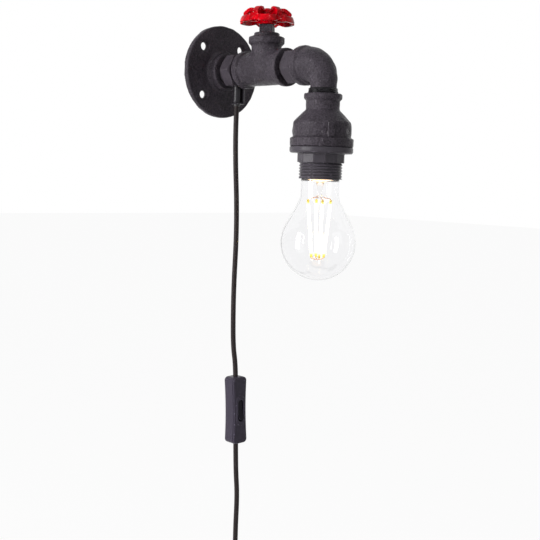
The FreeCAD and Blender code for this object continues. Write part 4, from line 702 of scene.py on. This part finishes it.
# ---------------------------------------------------------------------------
# Inner parts of the holder: ceramic core, plated brass contacts and screws,
# and the steel tube, nut and plate that hold it in the bell.
# ---------------------------------------------------------------------------
# Bare metal: drawn streaks, tarnish in patches and fine scratches.
bare_metal, given, result = effect_group("bare_metal", {
    "Colour": (0.6, 0.6, 0.6, 1.0), "Tarnish Colour": (0.2, 0.18, 0.16, 1.0), "Tarnish": 0.4,
    "Streak Size": 900.0, "Gloss": 0.28})
spot = surface_spot(bare_metal)
drawn = node(bare_metal, "ShaderNodeMapping", {
    "Vector": spot, "Scale": (1.0, 1.0, 0.12)}).outputs[0]
streaks = noise(bare_metal, drawn, given["Streak Size"], 4.0, 0.6)
patches = noise(bare_metal, spot, 150.0, 5.0, 0.6)
stain = math_node(bare_metal, "MULTIPLY", ramp(bare_metal, patches, 0.45, 0.7), given["Tarnish"])
clean = shade(bare_metal, given["Colour"], ramp(bare_metal, streaks, 0.3, 0.7, 0.88, 1.08))
dulled = ramp(bare_metal, patches, 0.4, 0.7, -0.04, 0.2)
rough = math_node(bare_metal, "ADD", given["Gloss"], dulled)
feed(bare_metal, result, Colour=mix_colour(bare_metal, stain, clean, given["Tarnish Colour"]),
     Roughness=rough, Normal=bump(bare_metal, streaks, 0.00002))


def metal_material(name, colour, tarnish_colour, tarnish=0.4, gloss=0.28):
    """Uncoated metal with the bare skin."""
    return skinned_material(
        name, bare_metal, {"Metallic": 1.0}, Colour=(*colour, 1.0), Tarnish=tarnish, Gloss=gloss,
        Tarnish_Colour=(*tarnish_colour, 1.0))


brass = metal_material("spring_brass", (0.72, 0.52, 0.22), (0.25, 0.13, 0.05))
steel = metal_material("zinc_steel", (0.62, 0.62, 0.64), (0.3, 0.28, 0.25), 0.3)
ceramic = moulded_material("white_ceramic", (0.72, 0.7, 0.65), 0.3, cloud=0.1)
dress(ceramic, "holder_core")
dress(brass, "terminal_screws", "screw_shell", "centre_contact")
dress(steel, "fixing_plate", "holder_nipple", "lock_nut")


# ---------------------------------------------------------------------------
# Bulb: clear glass blown in a mould, sphere, shoulder and neck in one wall, on
# a rolled nickel-plated cap. Four yellow phosphor filaments glow white-hot in
# the middle and hang from copper leads round a glass stem.
# ---------------------------------------------------------------------------
bowl_radius, throat_radius, neck_radius, glass_wall = 30.0, 18.0, 15.2, 0.9
bowl_height, neck_top, shoulder_slope = -140.7, -90.6, math.radians(28.0)


def glass_line(inward, count=44):
    """Bulb's skin that lies inward mm inside, from its pole to the neck: an arc about the bulb's
    middle, a straight shoulder tangent to it, an arc into the neck, and the neck's straight."""
    bowl_arc, throat_arc, neck = bowl_radius - inward, throat_radius + inward, neck_radius - inward
    throat_middle = neck_radius + throat_radius
    neck_height = bowl_height + (bowl_radius + throat_radius - throat_middle * math.cos(
        shoulder_slope)) / math.sin(shoulder_slope)
    turn = np.linspace(-np.pi / 2, shoulder_slope, 2 * count)
    bowl = np.column_stack((bowl_arc * np.cos(turn), bowl_height + bowl_arc * np.sin(turn)))
    back = np.linspace(shoulder_slope, 0, count // 2)
    throat = np.column_stack((throat_middle - throat_arc * np.cos(back),
                              neck_height - throat_arc * np.sin(back)))
    shoulder = np.linspace(bowl[-1], throat[0], count // 3)[1:-1]
    top = np.linspace((neck, neck_height), (neck, neck_top - inward), 10)[1:]
    line = np.vstack((bowl, shoulder, throat, top))
    line[0, 0] = 0.0
    return line


# The neck's end narrows to a foot that stands in the cap.
foot = 12.6
foot_in = foot - glass_wall
rim = [(15.0, -89.9), (14.5, -89.3), (foot + 0.5, -88.9), (foot, -88.5), (foot, -84.4),
       (foot_in, -84.4), (foot_in, -89.0), (foot - 0.3, -89.8), (13.6, -90.2), (14.1, -90.8)]
glass_skin = np.vstack((glass_line(0.0), rim, glass_line(glass_wall)[::-1]))
glass, tree, principled = new_material(
    "clear_glass", Transmission_Weight=1.0, Metallic=0.0, IOR=1.45, Roughness=0.0)
facing = node(tree, "ShaderNodeLayerWeight", {"Blend": 0.32}).outputs["Facing"]
spot = surface_spot(tree)
haze = noise(tree, spot, 55.0, 4.0, 0.6)
waves = noise(tree, spot, 70.0, 1.0)
# Partly painted shade: the glass's pale tint darkens a little where the wall is seen edge-on,
# along the bulb's outline.
tint_and_outline_shade = mix_colour(tree, ramp(tree, facing, 0.45, 1.0), (0.966, 0.966, 0.97, 1),
                  (0.955, 0.957, 0.96, 1))
feed(tree, principled, Base_Color=tint_and_outline_shade, Roughness=ramp(tree, haze, 0.35, 0.75, 0.0, 0.02),
     Normal=bump(tree, waves, 0.00004, 0.3))
bulb = turned_skin("bulb_glass_skin", glass_skin, lamp_axis, 256)
finish_piece(bulb, glass, "bulb_glass", "bulb", "bulb_glass")

nickel = metal_material("nickel_plate", (0.68, 0.66, 0.62), (0.35, 0.3, 0.24), 0.35, 0.22)
cap_pitch, cap_thread_deep, cap_radius, cap_top, cap_rim = 3.6, 0.8, 13.2, -67.6, -88.4


def rolled_thread(radius, angle, height):
    """Rolled round thread: the sheet, both faces alike, sinks by the thread wave, which fades
    out towards the rim and the top."""
    ends = fade(height, cap_rim, 1.6) * fade(height, cap_top - 3.4, -1.2)
    wave = thread_wave(height, cap_pitch, angle)
    return radius - cap_thread_deep * wave * ends * (radius > cap_radius - 0.6)


cap = turned_skin("bulb_cap_skin", outline([
    (cap_radius - 0.4, cap_rim), (cap_radius, cap_rim), (cap_radius, cap_top - 3.2, 0.5),
    (cap_radius - 2, cap_top - 1.4, 0.3), (cap_radius - 2.4, cap_top - 1.8),
    (cap_radius - 0.4, cap_top - 3.4)], 0.3), lamp_axis, 160, rolled_thread)
finish_piece(cap, nickel, "nickel_cap", "bulb", "bulb_cap")


def height_in_mm(tree, spot):
    """Height over the scene's origin."""
    high = node(tree, "ShaderNodeSeparateXYZ", {0: spot}).outputs["Z"]
    return math_node(tree, "MULTIPLY", high, 1 / MM)


# Painted glow: the stem's glass is given a warm emission that rises towards its top, standing in
# for the filaments' light carried up through it.
stem_glass, tree, principled = new_material(
    "stem_glass", Transmission_Weight=1.0, Metallic=0.0, IOR=1.25, Emission_Strength=0.7)
spot = surface_spot(tree)
seeds = noise(tree, spot, 260.0, 3.0)
seeded = mix_colour(tree, seeds, (0.93, 0.93, 0.93, 1), (0.99, 0.98, 0.97, 1))
stem_glow_low, stem_glow_top = -95.0, -89.5
stem_glow = ramp(tree, height_in_mm(tree, spot), stem_glow_low, stem_glow_top)
feed(tree, principled, Base_Color=seeded, Roughness=ramp(tree, seeds, 0.4, 0.7, 0.02, 0.08),
     Emission_Color=shade(tree, (1.0, 0.62, 0.32), stem_glow))
dress(stem_glass, "bulb_stem")

# The filaments glow between their ends, where the phosphor's own yellow shows.
filament_top, filament_end = -106.5, -152.5
glowing, tree, principled = new_material("glowing_phosphor", Roughness=0.5, Emission_Strength=1.0)
spot = surface_spot(tree)
level = height_in_mm(tree, spot)
below_top = ramp(tree, level, filament_top - 1.0, filament_top - 6.5)
above_end = ramp(tree, level, filament_end + 1.0, filament_end + 6.5)
heat = math_node(tree, "MULTIPLY", below_top, above_end)
grainy = noise(tree, spot, 2200.0, 3.0)
yellow = mix_colour(tree, grainy, (0.72, 0.5, 0.03, 1), (0.95, 0.75, 0.08, 1))
hot = mix_colour(tree, heat, (1.0, 0.62, 0.05, 1), (1.0, 0.9, 0.66, 1))
power = node(tree, "ShaderNodeMapRange", {
    "Value": heat, "From Min": 0.0, "From Max": 1.0, "To Min": 0.12,
    "To Max": 7.0}).outputs["Result"]
feed(tree, principled, Base_Color=yellow, Emission_Color=shade(tree, hot, power))
dress(glowing, "bulb_filaments")
copper = metal_material("copper_lead", (0.8, 0.42, 0.3), (0.35, 0.16, 0.1), 0.5, 0.3)
dress(copper, "bulb_leads")
cap_bead = moulded_material("black_glass_bead", (0.02, 0.02, 0.022), 0.15, Specular_IOR_Level=0.5)
dress(cap_bead, "bulb_insulator")
dress(brass, "bulb_contact")


# ---------------------------------------------------------------------------
# Strain relief: a steel tube pressed through a folded strip that hangs from the
# wall nipple, blackened, with a rubber bush where the cord comes out.
# ---------------------------------------------------------------------------
blackened = skinned_material(
    "blackened_steel", cast_skin, {"Specular_IOR_Level": 0.25}, Colour=(0.018, 0.016, 0.02, 1.0),
    Gloss=0.26, Grain_Size=1500.0, Grain_Depth=0.00005, Speck=0.3, Rubbing=1.0)
grip_y, grip_low, bush_low, grip_bore = -24.0, -27.4, -30.0, 2.45
grip_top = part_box("grip_tube")[1].z / MM
bracket = even_skin("bracket_skin", "cord_bracket", 0.22, 2)
finish_piece(bracket, blackened, "dark_steel", "light", "cord_bracket")
grip_tube = turned_skin("grip_tube_skin", outline([
    (grip_bore, grip_low, 0.15), (2.9, grip_low, 0.2), (3.5, grip_low + 0.5, 0.2),
    (3.3, grip_low + 1.6, 0.2), (3.3, grip_top, 0.3), (grip_bore, grip_top, 0.15)],
    0.3), (0.0, grip_y), 64)
finish_piece(grip_tube, blackened, "dark_steel", "light", "grip_tube")
bush_rubber = moulded_material("bush_rubber", (0.02, 0.018, 0.02), 0.45)
dress(bush_rubber, "grip_bush")


# ---------------------------------------------------------------------------
# Wires: two insulated copper strands that run from the cord through the
# nipples, the tee and the elbow to the lampholder's terminals.
# ---------------------------------------------------------------------------
for name, colour in (("wire_live", (0.2, 0.09, 0.04)), ("wire_neutral", (0.04, 0.12, 0.4))):
    dress(moulded_material(name + "_sheath", colour, 0.35), name)


# ---------------------------------------------------------------------------
# Switch: two moulded half shells of dark thermoplastic, spark-eroded matt on
# the outside, with a rocker that tilts in a recessed oval frame. Its screws are
# driven from the back, and brass contacts sit inside.
# ---------------------------------------------------------------------------
# Painted shade darkens the half shells' hollows and recesses, and painted highlights lighten their
# edges and the rocker's edges.
shell_dark = moulded_material(
    "switch_shell", (0.052, 0.044, 0.064), 0.24, pit_depth=0.00006, pit_size=1500.0, cloud=0.3,
    painted_hollow_shade=0.8, edge=2.5, Specular_IOR_Level=0.12)
rocker_dark = moulded_material("switch_rocker", (0.014, 0.012, 0.018), 0.18, pit_depth=0.00004,
                               edge=4.0, Specular_IOR_Level=0.08)
parting_y, groove_wide, groove_deep = -28.63, 0.45, 0.25


def parting_groove(spots, normals):
    """Half shells' meeting edges drawn in along the normal, as a bell curve of the distance
    from the parting plane."""
    near = bell_curve(spots[:, 1] - parting_y, groove_wide)
    return spots - normals * (groove_deep * near)[:, None]


for name, facet in (("switch_front", 0.24), ("switch_back", 0.32)):
    half_shell = even_skin(name + "_skin", name, facet, 3, parting_groove)
    finish_piece(half_shell, shell_dark, "switch_plastic", "light", name)
rocker = even_skin("rocker_skin", "switch_rocker", 0.13, 5)
finish_piece(rocker, rocker_dark, "switch_plastic", "rocker", "switch_rocker")
dress(steel, "rocker_pin", "switch_screws")
dress(brass, "switch_contacts")


# ---------------------------------------------------------------------------
# Cord: round rubber-sheathed flex, hanging with its own sway from the bush to
# the switch, then on to a tied coil of spare length and the mains plug.
# ---------------------------------------------------------------------------
def cord_curve(name, route, thick):
    """Round cord along one smooth NURBS spline whose control points are the route, in mm."""
    data = bpy.data.curves.new(name, "CURVE")
    data.dimensions = "3D"
    line = data.splines.new("NURBS")
    line.points.add(len(route) - 1)
    control = np.ones((len(route), 4))
    control[:, :3] = np.asarray(route) * MM
    line.points.foreach_set("co", control.ravel())
    line.order_u = 3
    line.use_endpoint_u = True
    data.resolution_u = 6
    data.bevel_depth, data.bevel_resolution = thick / 2 * MM, 6
    data.use_fill_caps = True
    return put_in_scene(name, data)


rubber_sheath = moulded_material("cord_sheath", (0.026, 0.02, 0.02), 0.42, pit_depth=0.00008,
                                 pit_size=1800.0, cloud=0.6, Specular_IOR_Level=0.12)
cord_thick, cord_gap = 4.4, 0.05
switch_x, switch_z, switch_half, switch_lean = 8.9, -297.0, 30.0, math.radians(2.4)


def switch_end(way, beyond):
    """Point on the switch's long axis, beyond its top (way 1) or its bottom (way -1)."""
    along = way * (switch_half + beyond)
    return (switch_x - along * math.sin(switch_lean), grip_y,
            switch_z + along * math.cos(switch_lean))


upper_drop = switch_end(1, 0)[2] - bush_low
# How far down the cord is, as a share of its drop, and how far it stands to the right there.
upper_sway = [(0.084, -0.4), (0.211, 0.7), (0.346, 3.2), (0.489, 4.0), (0.641, 2.7), (0.776, 2.9),
              (0.886, 4.0)]
upper_cord = cord_curve("hanging_cord", [
    (0, grip_y, bush_low - cord_gap),
    *((x, grip_y, bush_low + down * upper_drop) for down, x in upper_sway),
    switch_end(1, 11), switch_end(1, cord_gap)], cord_thick)
finish_piece(upper_cord, rubber_sheath, "dark_rubber", "light", "upper_cord")

# The coil winds in for thirteen quarter turns, climbs a layer towards the wall in
# two, and winds out for thirteen.
coil_x, coil_z, coil_inner, coil_pitch = 13.6, -461.0, 17.6, 5.05
coil_quarters, coil_dip, coil_ease, coil_lead, coil_leave = 13, 0.7, 0.15, 12.0, 24.0
coil_outer = coil_inner + coil_pitch * coil_quarters / 4
quarter = np.linspace(0, 2 * coil_quarters + 2, 8 * coil_quarters + 9)
past_middle = quarter - coil_quarters - 1
swing = -np.pi / 2 * quarter
climb = fade(past_middle, -1, 2)
wind = (coil_ease + coil_inner + coil_pitch * np.maximum(np.abs(past_middle) - 1, 0) / 4
        - coil_dip * np.cos(np.pi / 2 * np.clip(past_middle, -1, 1)) ** 2)
coil_points = np.column_stack((
    coil_x - coil_outer + wind * np.cos(swing),
    grip_y + coil_pitch * climb * climb * (3 - 2 * climb),
    coil_z + wind * np.sin(swing)))
switch_low, coil_top = switch_end(-1, 0)[2], coil_z + coil_lead
lower_sway = [(0.246, -1.9), (0.361, -0.4), (0.484, -0.1), (0.623, -0.6), (0.82, -0.4)]
lower_cord = cord_curve("spare_cord", [
    switch_end(-1, cord_gap), switch_end(-1, 15),
    *((coil_x + x, grip_y, switch_low + down * (coil_top - switch_low)) for down, x in lower_sway),
    (coil_x, grip_y, coil_top), *map(tuple, coil_points),
    (coil_x, grip_y + coil_pitch, coil_z - coil_leave / 2),
    (coil_x, grip_y + coil_pitch, coil_z - coil_leave)], cord_thick)
finish_piece(lower_cord, rubber_sheath, "dark_rubber", "light", "lower_cord", "cord_coil")
tuple(c * MM for c in switch_end(-1, cord_gap))


# ---------------------------------------------------------------------------
# Coil tie and mains plug: a rubber strap round the spare turns, and a flat
# moulded plug with two sleeved pins of plated brass.
# ---------------------------------------------------------------------------
tie_rubber = moulded_material("tie_rubber", (0.03, 0.027, 0.03), 0.5, pit_depth=0.00006)
plug_dark = moulded_material(
    "plug_shell", (0.05, 0.045, 0.055), 0.4, dulling=0.25, pit_depth=0.0001, pit_size=1500.0,
    Specular_IOR_Level=0.4)
dress(tie_rubber, "coil_tie")
dress(plug_dark, "plug_body")
dress(nickel, "plug_pins")
